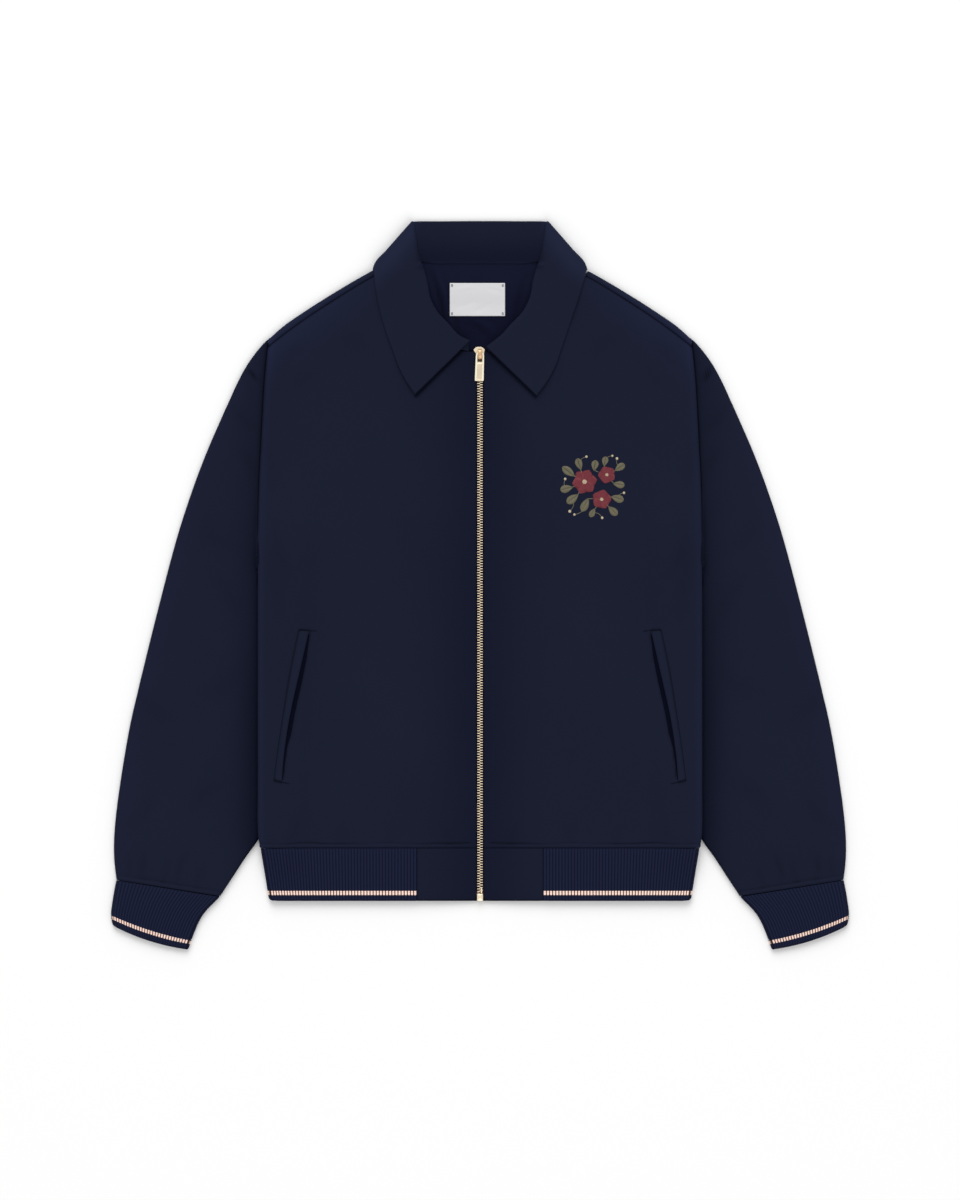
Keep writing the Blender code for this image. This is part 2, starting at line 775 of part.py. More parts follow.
def label(material):
    rows = []
    for down in range(4):
        y = LABEL_Y + LABEL_HEIGHT * (down / 3 - 0.5)
        row = []
        for step in range(6):
            x = LABEL_X + LABEL_WIDTH * (step / 5 - 0.5)
            row.append(Vector((x, y, lift(x, y) + CLOTH + 2 * SEAM_GAP + FACING_WALL + LABEL_WALL)))
        rows.append(row)
    make_wall("neck_label", rows, LABEL_WALL, material)


def on_panel(rows, x, y):
    """The height of a panel's outer face over a point."""
    above = Vector((x, y, 100.0))
    down = Vector((0.0, 0.0, -1.0))
    for low, high in zip(rows, rows[1:]):
        for a, b, c, d in zip(low, low[1:], high[1:], high):
            for corners in ((a, b, c), (a, c, d)):
                hit = intersect_ray_tri(*corners, down, above, True)
                if hit:
                    return hit.z
    raise ValueError("the welt lies off the panel")


def welts(material):
    """Each welt takes its points from the front panel, moved out by the seam gap and its own wall."""
    panel = front_rows()
    for name, side in (("pocket_welt_left", -1), ("pocket_welt_right", 1)):
        rows = []
        for outer, opening in reversed(list(zip(eased(WELT_OUTER, 2), eased(WELT_OPENING, 2)))):
            row = []
            for step in range(4):
                x = mix(opening.x, outer.x, step / 3)
                y = mix(opening.y, outer.y, step / 3)
                row.append(Vector((x, y, on_panel(panel, x, y) + 1.5 * SEAM_GAP + WELT_WALL)))
            rows.append(row)
        make_wall(name, mirrored_rows(rows, side), WELT_WALL, material)


def block(name, corners, low, high, material):
    """A closed prism: its outline seen from above, anticlockwise, between two heights."""
    count = len(corners)
    points = [Vector((x, y, low)) for x, y in corners] + [Vector((x, y, high)) for x, y in corners]
    faces = [list(reversed(range(count))), list(range(count, 2 * count))]
    faces += [[i, (i + 1) % count, (i + 1) % count + count, i + count] for i in range(count)]
    return new_object(name, points, faces, material, smooth_angle=30.0)


def rectangle(half_x, low_y, high_y):
    return [(-half_x, low_y), (half_x, low_y), (half_x, high_y), (-half_x, high_y)]


def zip_parts(tape, metal):
    for name, side in (("zip_tape_left", -1), ("zip_tape_right", 1)):
        rows = []
        for y in (CHAIN_END_Y, -200.0, -80.0, 60.0, 180.0, CHAIN_TOP_Y - SEAM_GAP):
            row = []
            for x in (CHAIN_HALF_WIDTH + SEAM_GAP, 10.0, TAPE_OUTER_X):
                row.append(Vector((x, y, front_top(x, y) - CLOTH - SEAM_GAP)))
            rows.append(row)
        make_wall(name, mirrored_rows(rows, side), TAPE_WALL, tape)
    chain = rectangle(CHAIN_HALF_WIDTH, CHAIN_END_Y + SEAM_GAP, CHAIN_TOP_Y)
    block("zip_chain", chain, CHAIN_LOW_Z, CHAIN_HIGH_Z, metal)
    box = rectangle(BOX_HALF_WIDTH, HEM_END_Y + 0.5, CHAIN_END_Y)
    block("zip_bottom_box", box, CHAIN_LOW_Z - 0.2, CHAIN_HIGH_Z + 0.5, metal)


def united(base, others):
    """Joins solids that overlap into one closed body, with the helpers left out of the model."""
    for other in others:
        other.hide_render = True
        other.display_type = "WIRE"
        union = base.modifiers.new("join " + other.name, "BOOLEAN")
        union.operation = "UNION"
        union.solver = "EXACT"
        union.object = other
    return base


def slider(metal):
    outline = SLIDER_HALF + [(-x, y) for x, y in reversed(SLIDER_HALF)]
    plate = block("zip_slider", outline, SLIDER_LOW_Z, SLIDER_HIGH_Z, metal)
    post = block("slider_post", rectangle(2.4, 250.2, 255.4), CHAIN_LOW_Z + 0.6, SLIDER_LOW_Z + 0.5, metal)
    count = len(BRIDGE_SIDE)
    points = [Vector((x, y, z)) for x in (-BRIDGE_HALF_WIDTH, BRIDGE_HALF_WIDTH) for y, z in BRIDGE_SIDE]
    faces = [list(reversed(range(count))), list(range(count, 2 * count))]
    faces += [[i, (i + 1) % count, (i + 1) % count + count, i + count] for i in range(count)]
    bridge = new_object("slider_bridge", points, faces, metal)
    united(plate, [post, bridge])


def pull_tab(metal):
    """A flat tab that hangs by its top bar from the slider's bridge. Its origin is on the bar's axis."""
    half = PULL_WIDTH / 2
    low = -PULL_LENGTH
    right = [
        (half - PULL_CORNER, low),
        (half, low + PULL_CORNER),
        (half - 0.4, -6.0),
        (half - 1.0, PULL_BAR - 1.0),
        (half - 2.0, PULL_BAR),
    ]
    outline = right + [(-x, y) for x, y in reversed(right)]
    window = rectangle(PULL_SLOT_HALF, -PULL_BAR - PULL_SLOT_LENGTH, -PULL_BAR)
    tab = block("zip_pull_tab", outline, -PULL_WALL / 2, PULL_WALL / 2, metal)
    cutter = block("pull_tab_window", window, -PULL_WALL, PULL_WALL, metal)
    cutter.hide_render = True
    cutter.display_type = "WIRE"
    cut = tab.modifiers.new("window", "BOOLEAN")
    cut.operation = "DIFFERENCE"
    cut.solver = "EXACT"
    cut.object = cutter
    for thing in (tab, cutter):
        thing.location = Vector((0.0, PULL_AXIS_Y, PULL_AXIS_Z)) * MM
        thing.rotation_euler.x = math.radians(PULL_DROP_DEG)


def main():
    clear_scene()
    navy = new_material("navy cloth", NAVY, 0.85)
    dark = new_material("facing cloth", FACING_NAVY, 0.8)
    knit = new_material("ribbed knit", RIB_NAVY, 0.95)
    satin = new_material("label satin", SATIN, 0.45)
    tape = new_material("zip tape", FACING_NAVY, 0.9)
    metal = new_material("gold metal", GOLD, 0.25, metallic=1.0)
    back_panel(navy)
    front_panels(navy)
    sleeves(navy)
    cuffs(knit)
    hem_ribs(knit)
    hem_tabs(navy)
    collar(navy)
    facing(dark)
    label(satin)
    welts(navy)
    zip_parts(tape, metal)
    slider(metal)
    pull_tab(metal)


if __name__ == "__main__":
    main()
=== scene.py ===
"""Dresses a laid bomber jacket: fine cloth shells, knitted ribs, a metal zip and thread work.

The jacket lies on its back on Z = 0 with its collar towards +Y. Lengths in this file are in millimetres
until a mesh is made, apart from those in the panel's settings, which are Blender's metres. The tables give
the half on +X, and the other half is its mirror.
"""

import math
from collections import namedtuple

import bpy
import numpy as np
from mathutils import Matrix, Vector
from mathutils.bvhtree import BVHTree


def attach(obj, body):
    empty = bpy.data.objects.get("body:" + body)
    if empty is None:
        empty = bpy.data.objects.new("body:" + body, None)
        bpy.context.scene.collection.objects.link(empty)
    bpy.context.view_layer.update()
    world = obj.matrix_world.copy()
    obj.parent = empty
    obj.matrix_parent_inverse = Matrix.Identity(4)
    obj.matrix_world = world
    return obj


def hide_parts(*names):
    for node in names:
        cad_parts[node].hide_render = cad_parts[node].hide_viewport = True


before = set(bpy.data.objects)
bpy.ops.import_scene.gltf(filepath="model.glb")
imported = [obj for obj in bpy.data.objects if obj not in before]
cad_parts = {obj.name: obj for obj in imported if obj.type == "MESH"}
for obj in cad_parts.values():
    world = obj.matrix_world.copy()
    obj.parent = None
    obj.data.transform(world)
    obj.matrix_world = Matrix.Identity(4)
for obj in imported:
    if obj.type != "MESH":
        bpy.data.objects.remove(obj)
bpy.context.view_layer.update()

bl_info = {
    "name": "Laid bomber jacket",
    "version": (1, 0, 0),
    "blender": (4, 5, 0),
    "location": "View3D > Sidebar > Jacket",
    "description": "Builds the cloth, ribs, zip and thread work of a laid bomber jacket",
    "category": "Add Mesh",
}

MM = 0.001
SIDES = (("left", -1), ("right", 1))
# The photograph's scale in millimetres to the pixel, its rows, and the row that lies at Y = 0.
PHOTO_SCALE = 1.08
PHOTO_ROWS = 1200
PHOTO_ZERO_ROW = 584.5
SEAM_GAP = 0.3

# Largest distance between points of the smaller pieces.
COLLAR_MESH = 2.8
CORNER_MESH = 1.7
FACING_MESH = 2.2
LABEL_MESH = 1.2
TAB_MESH = 2.6
CUFF_MESH = 1.7
WELT_MESH = 1.6
LINING_MESH = 2.0
TAPE_MESH = 4.0
STRIP_MESH = 6.0
# Depth and width of the roundings of the cloth at its seams.
ZIP_ROLL = (0.5, 1.6)
SHOULDER_ROLL = (0.8, 2.2)
ARMHOLE_ROLL = (0.8, 2.6)
RIB_SIDE_ROLL = (0.25, 1.2)
HEM_TOP_ROLL = (0.4, 1.2)
WELT_END_ROLL = (0.7, 1.6)

CLOTH = 1.8
COLLAR_WALL = 1.9
RIB_WALL = 1.6
RIB_RELIEF = 0.75
FACING_WALL = 1.2
LABEL_WALL = 1.0
TAPE_WALL = 0.8
SEAM_STRIP_WALL = 0.6
LINING_WALL = 0.3
# Widths of the turned-in edges at the underarm and at the wrist and hem.
UNDERARM_STRIP = 18.0
SEAM_STRIP = 8.0

STACK = 7.2
FOLD_RADIUS = STACK / 2
SLEEVE_STACK = 6.8
CUFF_STACK = 6.6
SLEEVE_LIFT = 7.3
COLLAR_LIFT = 2.4
NECK_MIDDLE_Z = COLLAR_LIFT + FOLD_RADIUS

ZIP_EDGE_X = 3.9
ZIP_DIP = 1.6
ZIP_DIP_WIDTH = 55.0
UNDERARM_Y = 26.0
HEM_SEAM_Y = -284.6
HEM_END_Y = -341.8
HEM_STRIPE = (-335.5, -330.9)
HEM_CORNER = 4.2
HEM_TOP_X = 236.2
HEM_END_X = 228.2
TAB_WIDTH = 68.2
ARMHOLE_TURN_DEG = 22.0
SHOULDER_SEAM_NEAR = 5.5
SHOULDER_SEAM_FAR = 8.0

HEM_RIBS = 49
HEM_BACK_RIBS = 2 * HEM_RIBS + 40
CUFF_RIBS = 28
POINTS_PER_RIB = 6
POINTS_PER_BACK_RIB = 3
# The share of a valley that a stripe's beads fill.
BEAD_FILL = 0.55
CUFF_STRIPE_HALF = 1.9
CUFF_RELIEF = 0.65

CHAIN_HALF_WIDTH = 3.3
CHAIN_TOP_Y = 249.3
CHAIN_END_Y = -333.0
TAPE_OUTER_X = 17.0
SLIDER_END_Y = 239.0
PULL_AXIS = (0.0, 248.8, 9.0)
PULL_LENGTH = 29.0
PULL_WALL = 1.6
PULL_DROP_DEG = 4.1
# The tab hangs slightly askew.
PULL_LEAN = 0.03

LABEL_X = -2.8
LABEL_Y = 307.8
LABEL_WIDTH = 59.8
LABEL_HEIGHT = 35.6
TACK_INSET = 1.4

Point = namedtuple("Point", "x y")


def table(kind, *rows):
    """Rows of one kind from their bare values."""
    return [kind(*row) for row in rows]


SIDE = table(
    Point,
    (HEM_TOP_X + 1.6, HEM_SEAM_Y), (239.6, -275.0), (240.3, -262.0), (240.3, -40.0), (240.3, 40.0),
    (239.2, 101.0), (236.4, 160.0), (232.9, 222.0), (228.5, 266.0),
)
SHOULDER = table(
    Point,
    (83.2, 355.9), (117.2, 338.5), (143.6, 323.5), (178.7, 301.9), (210.6, 280.3), (226.6, 266.0),
)
SIDE_ROWS = [HEM_SEAM_Y, -276, -262, -225, -180, -135, -90, -45, 0, 18]
SIDE_ROWS += [UNDERARM_Y, 36, 60, 101, 140, 180, 215, 240, 255]

Column = namedtuple("Column", "hem_x top_x top_y")
FRONT_NECK = table(
    Column,
    (ZIP_EDGE_X, ZIP_EDGE_X, 251.9), (13.0, 15.3, 252.0), (25.0, 27.4, 255.0),
    (40.0, 39.3, 261.4), (55.0, 50.5, 272.1), (70.0, 61.0, 285.4), (85.0, 69.0, 304.8),
    (100.0, 77.5, 330.8),
)
SHOULDER_HEM_X = [116.0, 143.0, 168.0, 184.0, 198.0, 212.0, HEM_TOP_X + 1.6]
BACK_NECK = table(
    Column,
    (0.0, 0.0, 348.3), (30.0, 27.0, 348.3), (60.0, 55.0, 348.5), (88.0, 76.0, 350.0),
)

Section = namedtuple("Section", "outer_x outer_y inner_x inner_y")
SLEEVE = table(
    Section,
    (229.4, 265.0, 241.2, 26.0), (243.5, 248.0, 240.6, 17.0), (259.5, 223.0, 240.2, 8.0),
    (283.0, 172.0, 239.4, -6.0), (303.0, 124.0, 234.0, -24.0), (325.2, 59.0, 225.0, -50.0),
    (344.4, -12.0, 218.0, -84.0), (363.2, -87.0, 215.0, -128.0), (378.2, -151.0, 217.0, -176.0),
    (389.3, -216.5, 223.0, -224.0), (395.0, -264.0, 234.0, -266.0), (395.6, -295.0, 251.0, -292.0),
    (393.0, -319.0, 280.5, -336.8),
)
CUFF = table(
    Section,
    (393.2, -319.5, 281.0, -337.5), (396.8, -339.0, 299.5, -357.5),
    (398.7, -359.3, 312.6, -387.0), (396.8, -369.2, 315.2, -395.0),
)
CUFF_BOW = [0.0, 1.4, 2.7, 3.2]

# turn is 90 where the leaf lies over the front and -90 where it lies under the back. The leaf on +X is
# narrower by inset.
Station = namedtuple("Station", "neck_x neck_y fold_x fold_y edge_x edge_y turn rise inset")
COLLAR_FRONT = table(
    Station,
    (9.2, 251.6, 8.4, 255.0, 69.7, 204.0, 90, 2.4, 8.7),
    (27.0, 255.5, 24.6, 267.7, 78.8, 217.6, 90, 1.2, 7.4),
    (38.9, 261.9, 35.5, 279.5, 87.5, 233.8, 90, 0.5, 6.9),
    (50.0, 272.5, 48.6, 293.8, 94.5, 253.3, 90, 0.2, 6.9),
    (60.5, 285.7, 55.2, 306.9, 99.4, 266.2, 90, 0.0, 7.3),
    (68.5, 305.0, 59.5, 327.6, 106.9, 290.0, 90, 0.0, 6.8),
    (77.0, 331.0, 68.4, 358.0, 112.8, 318.0, 90, 0.0, 3.4),
)
# The leaf on -X starts higher.
LEFT_POINT = Station(12.0, 252.0, 12.6, 261.5, 70.2, 205.2, 90, 2.4, 0.0)
COLLAR_CORNER = Station(80.2, 354.4, 72.9, 389.4, 114.2, 337.4, 0, 0.0, 0.0)
COLLAR_BACK = table(
    Station,
    (76.0, 351.6, 69.0, 390.1, 104.8, 331.2, -90, 0.0, 0.0),
    (55.0, 347.2, 45.0, 390.1, 75.6, 329.9, -90, 0.0, 0.0),
    (27.0, 346.6, 22.0, 390.1, 37.8, 329.9, -90, 0.0, 0.0),
    (0.0, 346.6, 0.0, 390.1, 0.0, 329.9, -90, 0.0, 0.0),
)
CORNER_TURNS = [68, 50, 30, 10, -10, -30, -50, -68]
# At its fold the corner is pressed to this share of its thickness at the leaf's edge.
CORNER_PRESS = 0.35
# Distance of the stand and of the leaf from the collar's middle plane, at the neck seam and at the fold.
STAND_AT_NECK = 2.7
STAND_AT_FOLD = 1.6
LEAF_AT_FOLD = 5.05
LEAF_GAP = 0.5

FACING = table(
    Point,
    (40.0, 252.8), (60.0, 275.0), (68.0, 300.0), (70.0, 325.0), (66.0, 348.45),
)
WELT_OUTER = table(
    Point,
    (195.5, -48.2), (204.9, -94.0), (213.2, -142.0), (219.1, -180.0), (223.2, -211.4),
)
WELT_OPENING = table(
    Point,
    (184.2, -49.2), (194.8, -96.0), (205.4, -144.0), (211.3, -182.0), (213.8, -213.6),
)
WELT_WALL = 1.2
# How far the pocket's slit gapes at each height.
SLIT_Y = [-213.0, -190.0, -173.0, -161.0, -104.0, -80.0, -49.0]
SLIT_GAPE = [0.7, 1.9, 2.7, 4.6, 4.6, 3.9, 0.6]

# Soft folds, each on a bowed line: troughs have a negative height.
Crease = namedtuple("Crease", "x y end_x end_y bow width height")
FRONT_CREASES = table(
    Crease,
    (222, 64, 204, 8, 4, 6.0, -0.5), (229, 40, 216, -40, -3, 7.5, -0.45),
    (214, 236, 190, 258, -3, 6.5, -0.45), (204, 214, 176, 232, 3, 8.0, -0.3),
    (232, 150, 222, 96, -3, 6.0, -0.35), (120, 246, 150, 268, 4, 10.0, -0.3),
    (38, -262, 30, -281, 2, 5.0, -0.35), (96, -258, 102, -282, -2, 6.0, -0.3),
    (150, -262, 146, -282, 2, 6.0, -0.3), (198, -250, 205, -281, -2, 6.0, -0.4),
)
SLEEVE_CREASES = table(
    Crease,
    (251.6, 235.0, 237.0, 221.0, 2, 2.1, -1.1), (247.0, 238.0, 234.0, 227.0, 2, 3.0, 0.4),
    (266, 196, 243, 168, 4, 7.0, -0.5), (262, 150, 245, 112, -4, 8.0, -0.45),
    (300, 66, 262, 40, 6, 9.0, -0.4), (290, 10, 262, -38, -6, 9.0, -0.45),
    (372, -110, 330, -148, 7, 9.0, -0.4), (300, -120, 262, -92, 6, 10.0, -0.4),
    (352, -226, 384, -262, -6, 8.0, -0.4), (276, -214, 312, -246, 5, 9.0, -0.45),
    (316, -290, 326, -322, 3, 4.0, -0.6), (338, -296, 344, -324, -2, 3.6, -0.5),
    (362, -290, 364, -319, 2, 4.0, -0.6), (380, -292, 381, -315, -2, 3.4, -0.45),
    (298, -304, 306, -328, 2, 3.6, -0.5),
)
BACK_CREASES = table(
    Crease,
    (205, 60, 168, -20, 6, 11.0, -0.7), (-196, 74, -160, -6, -5, 12.0, -0.6),
    (96, 240, 150, 262, 5, 11.0, -0.6), (-88, 246, -148, 270, 4, 12.0, -0.5),
    (60, -120, 20, -228, 9, 16.0, -0.5), (-84, -90, -60, -214, -8, 15.0, -0.55),
    (150, -180, 140, -268, 4, 12.0, -0.5), (-166, -190, -150, -270, -4, 12.0, -0.5),
)
FACING_CREASES = table(
    Crease,
    (-54, 340, -38, 276, 3, 2.6, -1.1), (-48, 342, -30, 270, 4, 2.8, 0.9),
    (-41, 334, -24, 268, 3, 2.6, -0.9), (50, 336, 38, 274, -3, 3.2, -0.8),
    (-14, 284, 12, 264, 2, 3.4, -0.8), (-6, 287, 16, 272, 2, 3.0, 0.6),
)
LABEL_CREASES = table(
    Crease,
    (-26, 298, -2, 305, 1, 2.4, -0.30), (-8, 294, 8, 302, -1, 2.6, -0.35),
    (8, 319, 25, 314, 1, 2.0, -0.35), (-24, 318, -6, 321, 1, 2.2, 0.30),
)


def tint(name, description, default):
    """A colour in a settings group."""
    return bpy.props.FloatVectorProperty(
        name=name, description=description, subtype="COLOR", size=3, min=0.0, max=1.0, default=default
    )


def amount(name, description, default, limits, **kind):
    """A number in a settings group, with its least and greatest value, and its unit or subtype."""
    return bpy.props.FloatProperty(
        name=name, description=description, default=default, min=limits[0], max=limits[1], **kind
    )


def length(name, description, default, limits):
    return amount(name, description, default, limits, unit="LENGTH")


class JacketCloth(bpy.types.PropertyGroup):
    navy: tint("Cloth", "Colour of the outer cloth", (0.0090, 0.0119, 0.0277))
    facing: tint("Facing", "Colour of the back neck facing and the zip tapes", (0.0052, 0.0070, 0.0208))
    label: tint("Label", "Colour of the bare satin label", (0.66, 0.66, 0.68))
    twill_pitch: length("Twill pitch", "Distance between the diagonal ridges", 0.0008, (0.0002, 0.005))
    crease_share: amount("Creases", "Share of the creases' full height", 1.0, (0.0, 2.0), subtype="FACTOR")
    mesh_size: length("Mesh size", "Largest distance between a cloth shell's points", 0.0040, (0.002, 0.02))


class JacketKnit(bpy.types.PropertyGroup):
    navy: tint("Rib", "Colour of the knitted ribs", (0.0104, 0.0138, 0.0375))
    stripe: tint("Stripe", "Colour of the stripe near the ribs' edge", (0.98, 0.72, 0.63))
    relief: length("Rib height", "Height of each rib over its valleys", RIB_RELIEF * MM, (0.0002, 0.002))
    course: length("Course", "Height of one knitted stitch", 0.0013, (0.0005, 0.005))


class JacketZip(bpy.types.PropertyGroup):
    gold: tint("Metal", "Colour of the zip's metal", (0.98, 0.83, 0.60))
    tooth_pitch: length("Tooth pitch", "Distance from tooth to tooth on one side", 0.0028, (0.001, 0.006))


class JacketThread(bpy.types.PropertyGroup):
    burgundy: tint("Petals", "Colour of the embroidered petals", (0.20, 0.020, 0.034))
    olive: tint("Leaves", "Colour of the embroidered leaves and stems", (0.150, 0.135, 0.080))
    cream: tint("Buds", "Colour of the knots and buds", (0.62, 0.52, 0.36))
    pitch: length("Stitch pitch", "Distance between satin stitches", 0.00055, (0.0002, 0.002))


class JacketStudio(bpy.types.PropertyGroup):
    floor: tint("Floor", "Colour of the floor", (0.97, 0.97, 0.97))
    sky: amount("Room light", "Strength of the even light of the room", 0.58, (0.0, 5.0))
    key: amount("Key light", "Power of the light beyond the collar", 1180.0, (0.0, 5000.0), unit="POWER")
    camera_height: length("Camera height", "Height of the camera over the jacket", 7.0, (1.0, 20.0))


def smooth(low, high, value):
    share = min(1.0, max(0.0, (value - low) / (high - low)))
    return share * share * (3 - 2 * share)


def soft_step(low, high, values):
    share = np.clip((values - low) / (high - low), 0.0, 1.0)
    return share * share * (3 - 2 * share)


def mix(first, second, share):
    return first + (second - first) * share


def read(points, heights):
    """x on a line of points at each of the given heights."""
    ordered = sorted(points, key=lambda point: point.y)
    return np.interp(heights, [point.y for point in ordered], [point.x for point in ordered])


def on_shoulder(share):
    """The point at a share of the shoulder, and the way outwards from it."""
    place = share * (len(SHOULDER) - 1)
    index = min(int(place), len(SHOULDER) - 2)
    low = SHOULDER[index]
    high = SHOULDER[index + 1]
    run = Vector((high.x - low.x, high.y - low.y, 0.0))
    outward = Vector((0.55 - 0.55 * smooth(0.8, 1.0, share), 0.85, 0.0)).normalized()
    return Vector((low.x, low.y, 0.0)) + run * (place - index), outward


def eased(rows, steps):
    """More rows on a smooth curve through the given ones."""
    made = []
    last = len(rows) - 1
    for index in range(last):
        around = [rows[max(0, index - 1)], rows[index], rows[index + 1], rows[min(last, index + 2)]]
        for step in range(steps):
            t = step / steps
            values = []
            for a, b, c, d in zip(*around):
                bend = 2 * a - 5 * b + 4 * c - d
                twist = 3 * b - a - 3 * c + d
                values.append(b + 0.5 * t * (c - a + t * (bend + t * twist)))
            made.append(type(rows[0])(*values))
    made.append(rows[last])
    return made


def lift(x, y):
    """Height of the back off the floor: over the tucked sleeves, and over the collar's fall."""
    beside = smooth(174.0, 210.0, abs(x))
    along = smooth(120.0, 32.0, y) * smooth(-322.0, -274.0, y)
    near_neck = smooth(298.0, 322.0, y) * smooth(150.0, 118.0, abs(x))
    return max(beside * along * SLEEVE_LIFT, near_neck * COLLAR_LIFT)


def front_top(x, y):
    dip = ZIP_DIP * (1 - smooth(0.0, ZIP_DIP_WIDTH, abs(x))) * smooth(292.0, 260.0, y)
    return lift(x, y) + STACK - dip


def side_turn(y):
    """How far the cloth turns round the body's side: a quarter turn below the underarm, less above."""
    return math.radians(mix(90.0, ARMHOLE_TURN_DEG, smooth(UNDERARM_Y, UNDERARM_Y + 10.0, y)))


def patch(column, side_y, columns, side_x, seam_top):
    """A point inside the panel, blended from its hem, its top edge, its middle and its side."""
    low_y = HEM_SEAM_Y
    share = (side_y - low_y) / (SIDE_ROWS[-1] - low_y)
    across = column / (len(columns) - 1)
    low = Vector((columns[column].hem_x, low_y, 0.0))
    top = Vector((columns[column].top_x, columns[column].top_y, 0.0))
    first = columns[0]
    last = columns[-1]
    middle = Vector((mix(first.hem_x, first.top_x, share), mix(low_y, first.top_y, share), 0.0))
    side = Vector((side_x, mix(low_y, seam_top, share), 0.0))
    corners = (
        Vector((first.hem_x, low_y, 0.0)) * (1 - across) * (1 - share)
        + Vector((last.hem_x, low_y, 0.0)) * across * (1 - share)
        + Vector((first.top_x, first.top_y, 0.0)) * (1 - across) * share
        + Vector((last.top_x, last.top_y, 0.0)) * across * share
    )
    return low * (1 - share) + top * share + middle * (1 - across) + side * across - corners


def seam_columns(neck, seam_near, seam_far):
    columns = list(neck)
    for step, hem_x in enumerate(SHOULDER_HEM_X):
        share = step / (len(SHOULDER_HEM_X) - 1)
        point, outward = on_shoulder(share)
        point = point - outward * mix(seam_near, seam_far, share)
        columns.append(Column(hem_x, point.x, point.y))
    return columns


def side_fold(edge_x, y, height, downward):
    turn = side_turn(y)
    arc = []
    for step in (1, 2, 3):
        angle = turn * step / 3
        x = edge_x - FOLD_RADIUS * (math.sin(turn) - math.sin(angle))
        arc.append(Vector((x, y, height - downward * FOLD_RADIUS * (1 - math.cos(angle)))))
    return arc


def panel_rows(columns, height, downward):
    """Rows of a panel from the hem seam up: its columns, and then the fold at its side."""
    edge_top = columns[-1].top_y
    rows = []
    for side_y in SIDE_ROWS:
        y = mix(HEM_SEAM_Y, edge_top, (side_y - HEM_SEAM_Y) / (SIDE_ROWS[-1] - HEM_SEAM_Y))
        edge_x = read(SIDE, y) - SEAM_GAP / 2
        flat_x = edge_x - FOLD_RADIUS * math.sin(side_turn(y))
        row = []
        for column in range(len(columns)):
            point = patch(column, side_y, columns, flat_x, edge_top)
            point.z = height(point.x, point.y)
            row.append(point)
        arc = side_fold(edge_x, y, height(edge_x, y), downward)
        arc[-1].z += downward * SEAM_GAP / 2
        rows.append(row + arc)
    return rows


def front_rows():
    gap = 1.5 * SEAM_GAP
    columns = seam_columns(FRONT_NECK, SHOULDER_SEAM_NEAR + gap, SHOULDER_SEAM_FAR + gap)
    return panel_rows(columns, front_top, 1.0)


def back_rows():
    """The back's rows, and those that wrap over each shoulder, with None where there is no cloth."""
    rows = panel_rows(seam_columns(BACK_NECK, FOLD_RADIUS, FOLD_RADIUS), lift, -1.0)
    wraps = [[], [], [], [], []]
    for column in range(len(rows[0])):
        shoulder_step = column - len(BACK_NECK)
        if shoulder_step < 0:
            for wrap in wraps:
                wrap.append(None)
            continue
        share = min(1.0, shoulder_step / (len(SHOULDER_HEM_X) - 1))
        outward = on_shoulder(share)[1]
        top_point = rows[-1][column]
        axis = Vector((top_point.x, top_point.y, 0.0))
        low_z = lift(axis.x, axis.y)
        high_z = front_top(axis.x, axis.y)
        top_point.z = low_z
        radius = (high_z - low_z) / 2
        for wrap, degrees in zip(wraps, (-45, 0, 45, 90)):
            angle = math.radians(degrees)
            point = axis + outward * (radius * math.cos(angle))
            point.z = (low_z + high_z) / 2 + radius * math.sin(angle)
            wrap.append(point)
        point = axis - outward * (mix(SHOULDER_SEAM_NEAR, SHOULDER_SEAM_FAR, share) - FOLD_RADIUS)
        point.z = front_top(point.x, point.y)
        wraps[4].append(point)
    whole = []
    for row in rows + wraps:
        left = [mirrored(point, -1) for point in reversed(row[1:])]
        # Seen from below, the points run from +X to -X.
        whole.append(list(reversed(left + list(row))))
    return whole


def mirrored(point, side):
    return None if point is None else Vector((point.x * side, point.y, point.z))


def edge_arc(base, outward, degrees, low_z, high_z, share):
    low = low_z(base, share)
    high = high_z(base, share)
    angle = math.radians(degrees)
    point = base + outward * ((high - low) / 2 * math.cos(angle))
    point.z = (low + high) / 2 + (high - low) / 2 * math.sin(angle)
    return point


def ring(section, stack, low_z, high_z, top_points, low_points, bow=0.0, bend=None):
    """Points round a flattened tube: over its top from the outer edge to the inner, and back underneath."""
    outer = Vector((section.outer_x, section.outer_y, 0.0))
    inner = Vector((section.inner_x, section.inner_y, 0.0))
    run = (inner - outer).normalized()
    across = Vector((-run.y, run.x, 0.0))
    start = outer + run * stack / 2
    end = inner - run * stack / 2

    def place(share):
        point = start + (end - start) * share
        if bend:
            point = bend(point)
        return point + across * (bow * 4 * share * (1 - share))

    points = []
    for step in range(top_points):
        share = step / (top_points - 1)
        point = place(share)
        point.z = high_z(point, share)
        points.append(point)
    for degrees in (45, 0, -45):
        points.append(edge_arc(place(1.0), run, degrees, low_z, high_z, 1.0))
    for step in range(low_points):
        share = 1 - step / (low_points - 1)
        point = place(share)
        point.z = low_z(point, share)
        points.append(point)
    for degrees in (-45, 0, 45):
        points.append(edge_arc(place(0.0), -run, degrees, low_z, high_z, 0.0))
    return points


